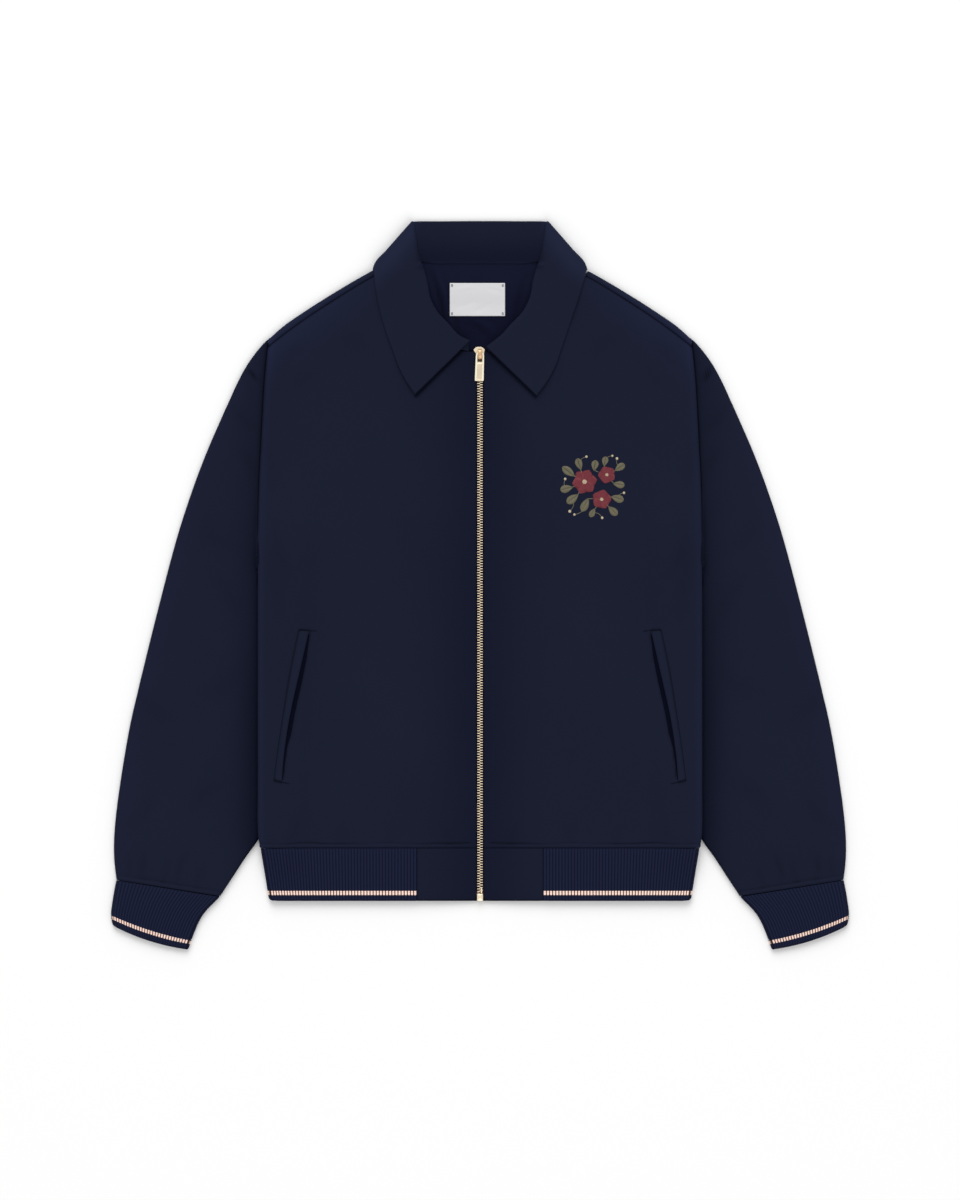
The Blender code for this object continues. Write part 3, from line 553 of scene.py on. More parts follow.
def sleeve_rings():
    rings = []
    for index, section in enumerate(eased(SLEEVE, 2)):
        attached = 1 - smooth(0.0, 5.0, index)
        clear = SEAM_GAP if index else SEAM_GAP / 2

        def high_z(point, share, attached=attached):
            dome = SLEEVE_STACK - 0.5 * (2 * share - 1) ** 2
            return mix(dome, lift(point.x, point.y) + STACK, attached)

        def low_z(point, share, attached=attached):
            return lift(point.x, point.y) * attached

        def bend(point, attached=attached, clear=clear):
            armhole = read(SIDE, point.y) + SEAM_GAP / 2 + clear * 2
            drop = (SLEEVE[0].outer_y - point.y) / (SLEEVE[0].outer_y - SLEEVE[0].inner_y)
            straight = mix(SLEEVE[0].outer_x, SLEEVE[0].inner_x, min(1.0, max(0.0, drop)))
            return point + Vector(((armhole - straight) * attached, 0.0, 0.0))

        rings.append(ring(section, SLEEVE_STACK, low_z, high_z, 10, 6, bend=bend if index < 5 else None))
    return rings


def collar_section(station):
    """The middle of the collar's wall: up the stand, round the fold and down the leaf."""
    neck = Vector((station.neck_x, station.neck_y, 0.0))
    fold = Vector((station.fold_x, station.fold_y, 0.0))
    edge = Vector((station.edge_x, station.edge_y, 0.0))
    angle = math.radians(station.turn)
    corner = COLLAR_CORNER
    along = Vector((corner.fold_x - corner.edge_x, corner.fold_y - corner.edge_y, 0.0)).normalized()
    # A flat, square-cornered turn, as a pressed collar has.
    aside = math.cos(angle) ** 0.45
    upward = Vector((0.0, 0.0, math.sin(angle)))
    sideways = Vector((along.y, -along.x, 0.0)) * aside
    out = sideways + upward
    out_at_fold = sideways * CORNER_PRESS + upward
    roll = (fold - edge).normalized()
    up = Vector((0.0, 0.0, NECK_MIDDLE_Z))
    neck_point = neck + up + out * STAND_AT_NECK
    edge_point = edge + up + out * LEAF_AT_FOLD
    if station.turn == 90:
        neck_point.z = front_top(neck.x, neck.y) - CLOTH / 2
        edge_point.z = front_top(edge.x, edge.y) + COLLAR_WALL / 2 + LEAF_GAP + station.rise
    if station.turn == -90:
        neck_point.z = NECK_MIDDLE_Z
        edge_point.z = COLLAR_WALL / 2
    if abs(station.turn) < 90:
        edge_point += Vector((-2.8, -1.0, 0.0)) * aside
    stand_end = fold + up + out_at_fold * STAND_AT_FOLD
    leaf_start = fold + up + out_at_fold * LEAF_AT_FOLD
    centre = (stand_end + leaf_start) / 2
    radius = (LEAF_AT_FOLD - STAND_AT_FOLD) / 2
    points = [neck_point.lerp(stand_end, share) for share in (0.0, 0.35, 0.7, 0.92, 1.0)]
    for degrees in (-60, -30, 0, 30, 60):
        bend = math.radians(degrees)
        points.append(centre + out_at_fold * (radius * math.sin(bend)) + roll * (radius * math.cos(bend)))
    straight = edge + up + out * LEAF_AT_FOLD if abs(station.turn) < 90 else edge_point
    points += [leaf_start.lerp(straight, share) for share in (0.0, 0.08, 0.3, 0.6, 0.88)]
    return points + [edge_point]


def collar_rows():
    stations = list(COLLAR_FRONT)
    stations += [COLLAR_CORNER._replace(turn=turn) for turn in CORNER_TURNS]
    stations += COLLAR_BACK
    right = [collar_section(station._replace(edge_x=station.edge_x - station.inset)) for station in stations]
    left = [collar_section(station) for station in [LEFT_POINT] + stations[1:]]
    left = [[mirrored(point, -1) for point in section] for section in left]
    return right + list(reversed(left[:-1]))


def as_grid(rows):
    missing = (math.nan, math.nan, math.nan)
    return np.array([[missing if point is None else tuple(point) for point in row] for row in rows])


EDGE_STEPS = (0.9, 2.0, 3.4, 4.4, 5.2, 6.0, 7.2)


def refined(grid, size, near_start=False, near_end=False, around=False):
    """More rows on smooth curves through the given ones, closer to those ends that need it."""
    if around:
        grid = np.concatenate([grid[-1:], grid, grid[:2]])
    gaps = np.maximum(np.linalg.norm(np.diff(grid, axis=0), axis=-1, keepdims=True), 1e-6)
    slopes = np.diff(grid, axis=0) / gaps
    before = gaps[:-1]
    after = gaps[1:]
    inside = (slopes[:-1] * after + slopes[1:] * before) / (before + after)
    inside = np.where(np.isnan(inside), slopes[:-1], inside)
    tangents = np.concatenate([slopes[:1], inside, slopes[-1:]])
    runs = range(1, len(gaps) - 1) if around else range(len(gaps))
    rows = []
    for run in runs:
        length = float(np.nanmean(gaps[run]))
        steps = max(1, math.ceil(length / (size(grid[run : run + 2]) if callable(size) else size)))
        shares = set(step / steps for step in range(steps))
        if near_start and run == 0:
            shares |= {step / length for step in EDGE_STEPS if step < length * 0.9}
        if near_end and run == len(gaps) - 1:
            shares |= {1 - step / length for step in EDGE_STEPS if step < length * 0.9}
        span = gaps[run]
        # Beside a much shorter run, a full tangent would carry the curve past it.
        leaving = tangents[run] * np.minimum(span, gaps[max(0, run - 1)] * 2.5)
        arriving = tangents[run + 1] * np.minimum(span, gaps[min(len(gaps) - 1, run + 1)] * 2.5)
        for t in sorted(shares):
            rows.append(
                grid[run] * (2 * t**3 - 3 * t**2 + 1)
                + leaving * (t**3 - 2 * t**2 + t)
                + grid[run + 1] * (3 * t**2 - 2 * t**3)
                + arriving * (t**3 - t**2)
            )
    if not around:
        rows.append(grid[-1])
    return np.array(rows)


def fine_grid(rows, size, row_ends=(True, True), column_ends=(True, True), around=False):
    grid = refined(as_grid(rows), size, *row_ends)
    across = np.swapaxes(grid, 0, 1)
    across = refined(across, size, around=True) if around else refined(across, size, *column_ends)
    return np.swapaxes(across, 0, 1)


def from_edge(grid, side):
    """Distance of each point from one side of its grid, along the cloth."""
    across = side in ("start", "end")
    way = -1 if side in ("high", "end") else 1
    ordered = (grid.swapaxes(0, 1) if across else grid)[::way]
    steps = np.nan_to_num(np.linalg.norm(np.diff(ordered, axis=0), axis=-1))
    length = np.concatenate([np.zeros((1, ordered.shape[1])), np.cumsum(steps, axis=0)])[::way]
    return length.T if across else length


def seam_roll(grid, side, depth, width):
    """The cloth's rounding down into a seam on one side of its grid."""
    return -depth * np.exp(-((from_edge(grid, side) / width) ** 2))


def soft_rim(grid, side):
    """Shares for a rim that is hardly rounded on one side, where the next piece meets it closely."""
    return 1.0 - 0.85 * bump_at(from_edge(grid, side), 0.5)


def crease_field(grid, creases, side=1.0):
    """Height that the creases add at each point."""
    x = grid[..., 0] * side
    y = grid[..., 1]
    field = np.zeros(x.shape)
    for crease in creases:
        run = np.array([crease.end_x - crease.x, crease.end_y - crease.y], float)
        length = np.hypot(*run)
        run /= length
        along = (x - crease.x) * run[0] + (y - crease.y) * run[1]
        share = np.clip(along / length, 0.0, 1.0)
        bowed = crease.bow * 4 * share * (1 - share)
        aside = (y - crease.y) * run[0] - (x - crease.x) * run[1] - bowed
        beyond = along - share * length
        distance = np.hypot(aside, beyond)
        fade = np.sin(np.pi * (0.08 + 0.84 * share)) ** 0.8
        field += crease.height * fade * np.exp(-((distance / crease.width) ** 2))
    return field


def undulation(grid, height, phase):
    """A slow, uneven swell, as in cloth that was pressed and laid down."""
    x = grid[..., 0]
    y = grid[..., 1]
    first = np.sin(x / 31.0 + 1.3 * np.sin(y / 67.0 + phase) + phase)
    second = np.sin(y / 43.0 + 1.1 * np.sin(x / 59.0 - phase) + 2.0 * phase)
    third = np.sin((x + y) / 23.0 + phase * 3.0)
    return height * (first + second + 0.4 * third) / 2.4


def directions(points, faces):
    """Outward direction at each point of a surface."""
    corners = points[faces]
    across = np.cross(corners[:, 2] - corners[:, 0], corners[:, 3] - corners[:, 1])
    across /= np.maximum(np.linalg.norm(across, axis=1, keepdims=True), 1e-12)
    normals = np.zeros_like(points)
    for corner in range(4):
        np.add.at(normals, faces[:, corner], across)
    return normals / np.maximum(np.linalg.norm(normals, axis=1, keepdims=True), 1e-12)


# At a rim both faces draw in and sink by these shares of the wall, so that it is rounded.
RIM_INSET = 0.22
RIM_SINK = 0.10
# depth is how far each point stands out of the even cloth.
Shell = namedtuple("Shell", "vertices faces coordinates row_of_face depth")


def shell(grid, wall, raised=None, around=False, centred=False, keep=None, coordinates=None, rim_share=None):
    """A closed wall of cloth from a grid of its outer face, with rounded rims."""
    rows, columns = grid.shape[:2]
    present = ~np.isnan(grid[..., 0])
    index = np.full((rows, columns), -1)
    index[present] = np.arange(present.sum())
    points = grid[present]
    turned = np.roll(index, -1, axis=1)
    last = columns if around else columns - 1
    quads = np.stack([index[:-1], turned[:-1], turned[1:], index[1:]], axis=-1)[:, :last]
    quad_rows = np.repeat(np.arange(rows - 1)[:, None], last, axis=1)
    whole = (quads >= 0).all(axis=-1)
    if keep is not None:
        whole &= keep
    faces = quads[whole]
    row_of_face = quad_rows[whole]
    normals = directions(points, faces)
    middle = points if centred else points - normals * wall / 2
    outer = middle + normals * wall / 2
    inner = middle - normals * wall / 2
    if raised is not None:
        outer = outer + normals * raised[present][:, None]
        # Deep folds carry the inside of the cloth with them.
        inner = inner + normals * np.minimum(raised[present], 0.0)[:, None] * 0.5
    starts = faces.ravel()
    ends = np.roll(faces, -1, axis=1).ravel()
    total = len(points)
    keys = starts.astype(np.int64) * total + ends
    free = ~np.isin(keys, ends.astype(np.int64) * total + starts)
    rim = np.stack([starts[free], ends[free]], axis=1)
    rim_rows = np.repeat(row_of_face, 4)[free]
    outward = np.zeros_like(points)
    run = points[rim[:, 1]] - points[rim[:, 0]]
    run /= np.maximum(np.linalg.norm(run, axis=1, keepdims=True), 1e-9)
    for end in range(2):
        np.add.at(outward, rim[:, end], np.cross(run, normals[rim[:, end]]))
    on_rim = np.unique(rim)
    lengths = np.linalg.norm(outward[on_rim], axis=1, keepdims=True)
    outward[on_rim] /= np.maximum(lengths, 1e-9)
    centre = (outer + inner) / 2
    share = 1.0 if rim_share is None else rim_share[present][on_rim][:, None]
    pull = outward[on_rim] * wall * RIM_INSET * share
    sink = normals[on_rim] * wall * RIM_SINK * share
    outer[on_rim] -= pull + sink
    inner[on_rim] -= pull - sink
    place = np.full(total, -1)
    place[on_rim] = 2 * total + np.arange(len(on_rim))
    vertices = np.concatenate([outer, inner, centre[on_rim]])
    a = rim[:, 0]
    b = rim[:, 1]
    upper = np.stack([b, a, place[a], place[b]], axis=1)
    lower = np.stack([place[b], place[a], a + total, b + total], axis=1)
    all_faces = np.concatenate([faces, faces[:, ::-1] + total, upper, lower])
    all_rows = np.concatenate([row_of_face, row_of_face, rim_rows, rim_rows])
    if coordinates is None:
        coordinates = np.stack([from_edge(grid, "start"), from_edge(grid, "low")], axis=-1)
    flat = coordinates[present]
    depth = np.zeros(total) if raised is None else raised[present]
    depth = np.concatenate([depth, np.zeros(total), depth[on_rim]])
    return Shell(vertices, all_faces, np.concatenate([flat, flat, flat[on_rim]]), all_rows, depth)


def joined(shells):
    """Several closed meshes as one."""
    starts = np.cumsum([0] + [len(one.vertices) for one in shells[:-1]])
    moved = [one._replace(faces=one.faces + start) for one, start in zip(shells, starts)]
    return Shell(*(np.concatenate(part) for part in zip(*moved)))


def plain_shell(vertices, faces, coordinates):
    return Shell(vertices, faces, coordinates, np.zeros(len(faces), int), np.zeros(len(vertices)))


def face_lists(faces):
    """Faces for Blender, where one whose last two corners are the same is a triangle."""
    return [face[:3] if face[2] == face[3] else face for face in faces.tolist()]


def hollow_shade(depth):
    """Less light reaches hollows, and a little more reaches ridges."""
    deep = np.clip(-depth, 0.0, 1.6)
    return 1.0 + 0.22 * np.clip(depth, 0.0, 0.6) - 0.22 * deep - 0.55 * np.clip(deep - 0.55, 0.0, 0.7)


def bump_at(distance, width):
    return np.exp(-((distance / width) ** 2))


def coloured(strength, colour):
    """A change of tone by the given share of a colour, for each point."""
    return 1.0 + strength[:, None] * np.array(colour)[None, :]


# The front edges of the collar's leaves, at -X and +X, from the top end and in x and y.
LEAF_FRONTS = [((-12.6, 260.5), (-70.2, 203.9)), ((8.4, 253.6), (60.9, 202.9))]


def under_leaves(points):
    """1 in the narrow shade under the collar's front edges."""
    shade = np.zeros(len(points))
    for start, end in LEAF_FRONTS:
        run = np.subtract(end, start)
        length = np.hypot(*run)
        run = run / length
        offset = points[:, :2] - start
        along = offset @ run
        below = (offset[:, 0] * run[1] - offset[:, 1] * run[0]) * np.sign(run[0])
        ends = soft_step(-3.0, 1.0, along) * soft_step(length + 2.5, length - 0.5, along)
        shade = np.maximum(shade, bump_at(below - 0.8, 1.9) * ends)
    return shade


def front_tone(points):
    x = np.abs(points[:, 0])
    y = points[:, 1]
    # Painted light and shade: the cloth darkens towards the zip where it dips, a painted highlight runs along
    # the body's side edge, painted light lifts the cloth below the shoulders, and painted shade lies under
    # the collar's front edges.
    zip_side = coloured(bump_at(x, 46.0), (-0.30, -0.30, -0.22))
    side_x = read(SIDE, y)
    edge_highlight = coloured(bump_at(side_x - x - 3.0, 4.0), (0.16, 0.15, 0.22))
    shoulder_y = np.interp(x, [point.x for point in SHOULDER], [point.y for point in SHOULDER])
    shoulder = coloured(bump_at(shoulder_y - y - 6.0, 30.0) * soft_step(60.0, 200.0, x), (0.30, 0.27, 0.40))
    leaf_shade = coloured(under_leaves(points), (-0.80, -0.78, -0.62))
    return zip_side * edge_highlight * shoulder * leaf_shade


def sleeve_tone(points):
    x = np.abs(points[:, 0])
    y = points[:, 1]
    # Painted shade darkens the sleeve beside the body, more so lower down where the body lies over it, with a
    # narrow darker line at the body's edge. A painted highlight lightens the sleeve's outer rim.
    near = x - read(SIDE, y)
    depth = 0.75 + 0.15 * soft_step(150.0, -20.0, y) + 0.5 * soft_step(0.0, -150.0, y)
    beside = coloured(bump_at(near, 22.0) * depth, (-0.36, -0.34, -0.28))
    beside *= coloured(bump_at(near, 4.0), (-0.35, -0.35, -0.28))
    rim_x = read([Point(section.outer_x, section.outer_y) for section in SLEEVE], y)
    rim_x = np.where(y > SLEEVE[0].outer_y, x, rim_x)
    outer = coloured(bump_at(rim_x - x, 15.0), (0.10, 0.06, 0.10))
    return beside * outer


def collar_tone(points):
    x = np.abs(points[:, 0])
    y = points[:, 1]
    # Painted highlight on the collar's top near its outline. Painted shade inside the neck opening, darker
    # towards the neck seam, and a painted highlight along the band's lower edge at that seam.
    corner = COLLAR_CORNER
    along = (y - corner.edge_y) / (corner.fold_y - corner.edge_y)
    silhouette_x = corner.edge_x + (corner.fold_x - corner.edge_x) * along
    painted_shine = bump_at(x - silhouette_x + 4.0, 15.0) * soft_step(305.0, 350.0, y)
    inside = soft_step(74.0, 62.0, x) * soft_step(338.0, 344.0, y) * (points[:, 2] > NECK_MIDDLE_Z - 2.0)
    band = coloured(inside * (0.30 + 0.80 * soft_step(384.0, 350.0, y)), (-0.42, -0.42, -0.32))
    seam = coloured(inside * bump_at(y - 346.0, 1.6), (1.1, 1.1, 0.9))
    return coloured(painted_shine * (1 - inside), (0.55, 0.48, 0.55)) * band * seam


def facing_tone(points):
    x = points[:, 0]
    y = points[:, 1]
    # Painted shade: the facing darkens towards the bottom of the neck opening, and a little towards its
    # sides.
    low = soft_step(330.0, 285.0, y)
    sides = soft_step(25.0, 55.0, np.abs(x))
    return coloured(low, (-0.30, -0.32, -0.16)) * coloured(sides, (-0.05, -0.05, 0.0))


def new_piece(
    name, made, materials, body="jacket", replaces=(), material_of_face=None, crisp=None, tone=None
):
    """An object from a shell. tone gives what the cloth's colour is multiplied by at each point."""
    mesh = bpy.data.meshes.new(name)
    mesh.from_pydata((made.vertices * MM).tolist(), [], face_lists(made.faces))
    mesh.validate()
    # The tone attribute carries painted shade in hollows and painted light on ridges, times the painted shade
    # and light that tone gives.
    shades = np.ones((len(made.vertices), 4))
    shades[:, :3] = hollow_shade(made.depth)[:, None]
    if tone is not None:
        shades[:, :3] *= tone(made.vertices)
    tones = mesh.attributes.new("tone", "FLOAT_COLOR", "POINT")
    tones.data.foreach_set("color", shades.astype(np.float32).ravel())
    layer = mesh.uv_layers.new(name="cloth")
    corners = np.empty(len(mesh.loops), np.int32)
    mesh.loops.foreach_get("vertex_index", corners)
    layer.uv.foreach_set("vector", made.coordinates[corners].astype(np.float32).ravel())
    piece = bpy.data.objects.new(name, mesh)
    bpy.context.scene.collection.objects.link(piece)
    for material in materials:
        mesh.materials.append(material)
    if material_of_face is not None:
        mesh.polygons.foreach_set("material_index", material_of_face.astype(np.int32))
    mesh.shade_smooth()
    if crisp:
        mesh.set_sharp_from_angle(angle=math.radians(crisp))
    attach(piece, body)
    if replaces:
        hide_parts(*replaces)
    return piece


def flat_size(grid, around=False):
    """Width, length and area of the cloth that a grid stands for, in metres."""
    clear = np.nan_to_num(grid)
    present = ~np.isnan(grid[..., 0])
    next_column = np.roll(clear, -1, axis=1)
    next_present = np.roll(present, -1, axis=1)
    if not around:
        next_column = next_column[:, :-1]
        next_present = next_present[:, :-1]
        clear = clear[:, :-1]
        present = present[:, :-1]
    first = np.cross(next_column[:-1] - clear[:-1], next_column[1:] - clear[:-1])
    second = np.cross(next_column[1:] - clear[:-1], clear[1:] - clear[:-1])
    area = (np.linalg.norm(first, axis=-1) + np.linalg.norm(second, axis=-1)) / 2
    whole = present[:-1] & next_present[:-1] & present[1:] & next_present[1:]
    across = np.where(present & next_present, np.linalg.norm(next_column - clear, axis=-1), 0.0)
    along = np.where(present[:-1] & present[1:], np.linalg.norm(np.diff(clear, axis=0), axis=-1), 0.0)
    return float(across.sum(1).max() * MM), float(along.sum(0).max() * MM), float(area[whole].sum() * MM * MM)


def declare_cloth(grid, around=False):
    """The cloth's flat size, measured on its grid."""
    width, length, area = flat_size(grid, around)
    # Rounding can make a rectangle's area a hair larger than its box.
    area = min(area, width * length)


def cloth_piece(node_name, made, grid, tone, around=False):
    """The cloth that stands for one node."""
    navy = [cloth_material()]
    piece = new_piece(node_name + "_cloth", made, navy, replaces=[node_name], tone=tone)
    declare_cloth(grid, around)


def knit_piece(node_name, made, grid, levels, stripe, around=False):
    """The knitted rib that stands for one node. levels and stripe say which of its rows are striped."""
    piece = new_piece(
        node_name + "_knit",
        made,
        [knit_material(), knit_material(stripe=True)],
        replaces=[node_name],
        material_of_face=stripe_faces(levels, made.row_of_face, stripe),
    )
    declare_cloth(grid, around)


def inner_and_outer(side):
    """Which sides of a grid lie towards the zip and towards the arm."""
    return ("start", "end") if side > 0 else ("end", "start")


def laid_rows(heights, places, rise):
    """Rows of points from their y and x, with the height off the floor that rise gives."""
    return [[Vector((x, y, rise(x, y))) for x in places] for y in heights]


def handed(grid, side):
    """A grid for the +X half, or its mirror image, still with its outer face outwards."""
    if side > 0:
        return grid
    return (grid * np.array([-1.0, 1.0, 1.0]))[:, ::-1]


# Shader groups.


def kept_group(name, fill, inputs, outputs):
    """The shader group of a name, which fill gives its nodes when it is new. Place is where it is read."""
    if name in bpy.data.node_groups:
        return bpy.data.node_groups[name]
    group = bpy.data.node_groups.new(name, "ShaderNodeTree")
    group.interface.new_socket(name="Place", in_out="INPUT", socket_type="NodeSocketVector")
    for label, value in inputs.items():
        socket = group.interface.new_socket(name=label, in_out="INPUT", socket_type="NodeSocketFloat")
        socket.default_value = value
    for label in outputs:
        group.interface.new_socket(name=label, in_out="OUTPUT", socket_type="NodeSocketFloat")
    start = group.nodes.new("NodeGroupInput")
    end = group.nodes.new("NodeGroupOutput")
    for label, value in fill(group, start.outputs["Place"], start.outputs).items():
        group.links.new(value, end.inputs[label])
    return group


def node(tree, kind, links=(), **settings):
    """A node with its settings, and its inputs linked from or set to the given values."""
    made = tree.nodes.new(kind)
    for name, value in settings.items():
        setattr(made, name, value)
    for socket, value in links:
        if isinstance(value, bpy.types.NodeSocket):
            tree.links.new(value, made.inputs[socket])
        else:
            made.inputs[socket].default_value = value
    return made


def maths(tree, operation, *values):
    return node(tree, "ShaderNodeMath", list(enumerate(values)), operation=operation).outputs[0]


def added(tree, first, second):
    return maths(tree, "ADD", first, second)


def times(tree, first, second):
    return maths(tree, "MULTIPLY", first, second)


def noise(tree, place, scale, detail):
    settings = [("Vector", place), ("Scale", scale), ("Detail", detail)]
    return node(tree, "ShaderNodeTexNoise", settings).outputs["Fac"]


def fill_twill(group, place, given):
    """Diagonal ridges of a twill, crossed by its yarns, and the tone of worn and dusty patches."""
    parts = node(group, "ShaderNodeSeparateXYZ", [(0, place)])
    diagonal = added(group, parts.outputs["X"], parts.outputs["Y"])
    wobble = noise(group, place, 0.35, 2.0)
    diagonal = added(group, diagonal, times(group, wobble, 0.9))
    turns = maths(group, "DIVIDE", diagonal, times(group, given["Pitch"], 1.414))
    ridge = maths(group, "SINE", times(group, turns, math.tau))
    counter = maths(group, "SUBTRACT", parts.outputs["X"], parts.outputs["Y"])
    yarn_turns = maths(group, "DIVIDE", counter, times(group, given["Pitch"], 0.8))
    yarn = maths(group, "SINE", times(group, yarn_turns, math.tau))
    fuzz = noise(group, place, 1.9, 3.0)
    height = added(group, times(group, ridge, 0.5), times(group, yarn, 0.2))
    height = added(group, height, times(group, fuzz, 0.6))
    broad = noise(group, place, 0.012, 3.0)
    spread = maths(group, "SUBTRACT", added(group, broad, fuzz), 1.0)
    tone = added(group, times(group, spread, given["Unevenness"]), 1.0)
    return {"Height": height, "Tone": added(group, tone, times(group, ridge, 0.03))}


def fill_knit(group, place, given):
    """V-shaped stitches on the ribs. Place holds ribs across and millimetres along."""
    parts = node(group, "ShaderNodeSeparateXYZ", [(0, place)])
    across = maths(group, "SUBTRACT", maths(group, "FRACT", parts.outputs["X"]), 0.5)
    aside = maths(group, "ABSOLUTE", across)
    lag = times(group, aside, 2.2)
    courses = maths(group, "DIVIDE", parts.outputs["Y"], given["Course"])
    stitch = maths(group, "SINE", times(group, added(group, courses, lag), math.tau))
    split = maths(group, "MINIMUM", times(group, aside, 9.0), 1.0)
    fuzz = noise(group, place, 2.4, 3.0)
    height = added(group, times(group, stitch, 0.4), times(group, split, 0.5))
    height = added(group, height, times(group, fuzz, 0.5))
    tone = added(group, times(group, stitch, given["Stitch"]), 0.94)
    tone = added(group, tone, times(group, fuzz, 0.12))
    # Little light reaches the bottom of the valleys between the ribs.
    ends = [("From Min", 0.22), ("From Max", 0.44), ("To Min", 1.0), ("To Max", given["Valley"])]
    valley = node(group, "ShaderNodeMapRange", [("Value", aside)] + ends, interpolation_type="SMOOTHSTEP")
    return {"Height": height, "Tone": times(group, tone, valley.outputs["Result"])}


def fill_brushed(group, place, given):
    """Fine scratches and dull patches of handled metal."""
    stretched = node(group, "ShaderNodeMapping", [("Vector", place), ("Scale", (2200.0, 300.0, 900.0))])
    lines = noise(group, stretched.outputs[0], 1.0, 4.0)
    patches = noise(group, place, 260.0, 3.0)
    tone = added(group, times(group, patches, 0.12), 0.94)
    return {"Height": lines, "Tone": tone, "Roughness": added(group, times(group, patches, 0.2), 0.2)}


def twill_group():
    inputs = {"Pitch": 0.8, "Unevenness": 0.08}
    return kept_group("twill weave", fill_twill, inputs, ("Height", "Tone"))


def knit_group():
    inputs = {"Course": 1.3, "Valley": 0.5, "Stitch": 0.06}
    return kept_group("knit stitches", fill_knit, inputs, ("Height", "Tone"))


def brushed_group():
    return kept_group("handled metal", fill_brushed, {}, ("Height", "Tone", "Roughness"))


def tinted(tree, colour, tone):
    """A colour times a tone that varies over the surface."""
    return node(tree, "ShaderNodeVectorMath", [(0, colour), (1, tone)], operation="MULTIPLY").outputs[0]


def new_material(name, group, group_values, colour, bump, shader_values, toned=False):
    """A Principled material whose colour and bump come from one of the groups. bump holds its strength
    and its height, and a toned material is multiplied by the mesh's tone."""
    if name in bpy.data.materials:
        return bpy.data.materials[name]
    material = bpy.data.materials.new(name)
    material.use_nodes = True
    tree = material.node_tree
    shader = tree.nodes["Principled BSDF"]
    for socket, value in shader_values.items():
        shader.inputs[socket].default_value = value
    if group_values:
        where = node(tree, "ShaderNodeUVMap", uv_map="cloth").outputs["UV"]
    else:
        where = node(tree, "ShaderNodeTexCoord").outputs["Object"]
    detail = node(tree, "ShaderNodeGroup", node_tree=group)
    tree.links.new(where, detail.inputs["Place"])
    for socket, value in group_values.items():
        detail.inputs[socket].default_value = value
    shade = tinted(tree, tuple(colour), detail.outputs["Tone"])
    if toned:
        shade = tinted(tree, shade, node(tree, "ShaderNodeAttribute", attribute_name="tone").outputs["Color"])
    tree.links.new(shade, shader.inputs["Base Color"])
    if "Roughness" in detail.outputs:
        tree.links.new(detail.outputs["Roughness"], shader.inputs["Roughness"])
    rise = [("Height", detail.outputs["Height"]), ("Strength", bump[0]), ("Distance", bump[1])]
    raised = node(tree, "ShaderNodeBump", rise)
    tree.links.new(raised.outputs["Normal"], shader.inputs["Normal"])
    return material


BLUE_SHEEN = (0.5, 0.5, 1.0, 1.0)


def cloth_material():
    settings = bpy.context.scene.jacket_cloth
    weave = {"Pitch": settings.twill_pitch / MM, "Unevenness": 0.10}
    gloss = {"Roughness": 0.80, "Specular IOR Level": 0.05}
    sheen = {"Sheen Weight": 0.03, "Sheen Roughness": 0.4, "Sheen Tint": BLUE_SHEEN}
    return new_material(
        "navy twill", twill_group(), weave, settings.navy, (0.35, 0.0002), gloss | sheen, toned=True
    )


def facing_material():
    settings = bpy.context.scene.jacket_cloth
    weave = {"Pitch": 0.5, "Unevenness": 0.14}
    gloss = {"Roughness": 0.65, "Specular IOR Level": 0.04, "Sheen Weight": 0.02, "Sheen Tint": BLUE_SHEEN}
    return new_material(
        "dark facing", twill_group(), weave, settings.facing, (0.25, 0.00015), gloss, toned=True
    )


def satin_material():
    settings = bpy.context.scene.jacket_cloth
    weave = {"Pitch": 0.35, "Unevenness": 0.06}
    gloss = {"Roughness": 0.42, "Specular IOR Level": 0.5, "Sheen Weight": 0.1}
    return new_material("label satin", twill_group(), weave, settings.label, (0.15, 0.0001), gloss)


def knit_material(stripe=False):
    settings = bpy.context.scene.jacket_knit
    name, valley, stitch_tone, colour, tint_of_sheen = (
        ("stripe knit", 0.03, 0.0, settings.stripe, (0.9, 0.85, 0.8, 1.0))
        if stripe
        else ("rib knit", 0.55, 0.06, settings.navy, (0.6, 0.6, 1.0, 1.0))
    )
    knit = {"Course": settings.course / MM, "Valley": valley, "Stitch": stitch_tone}
    gloss = {"Roughness": 0.9, "Specular IOR Level": 0.05}
    sheen = {"Sheen Weight": 0.03, "Sheen Roughness": 0.5, "Sheen Tint": tint_of_sheen}
    return new_material(name, knit_group(), knit, colour, (0.6, 0.0004), gloss | sheen, toned=True)


def metal_material(name="gold metal", shade=(1.0, 1.0, 1.0)):
    settings = bpy.context.scene.jacket_zip
    colour = [channel * part for channel, part in zip(settings.gold, shade)]
    return new_material(name, brushed_group(), {}, colour, (0.06, 0.00005), {"Metallic": 0.5}, toned=True)


def thread_material(name, colour, gloss=0.4):
    twist = {"Pitch": 0.25, "Unevenness": 0.16}
    values = {"Roughness": 0.5, "Specular IOR Level": gloss, "Sheen Weight": gloss * 0.3}
    return new_material(name, twill_group(), twist, colour, (0.5, 0.00015), values)


# Cloth pieces.


def mesh_size():
    return bpy.context.scene.jacket_cloth.mesh_size / MM


def front_mesh_size(part):
    """Finer under the collar's points, for their narrow shade."""
    x = np.abs(part[..., 0])
    y = part[..., 1]
    return CORNER_MESH if ((x < 76.0) & (y > 192.0) & (y < 266.0)).any() else mesh_size()


def front_grid():
    return fine_grid(front_rows(), front_mesh_size)


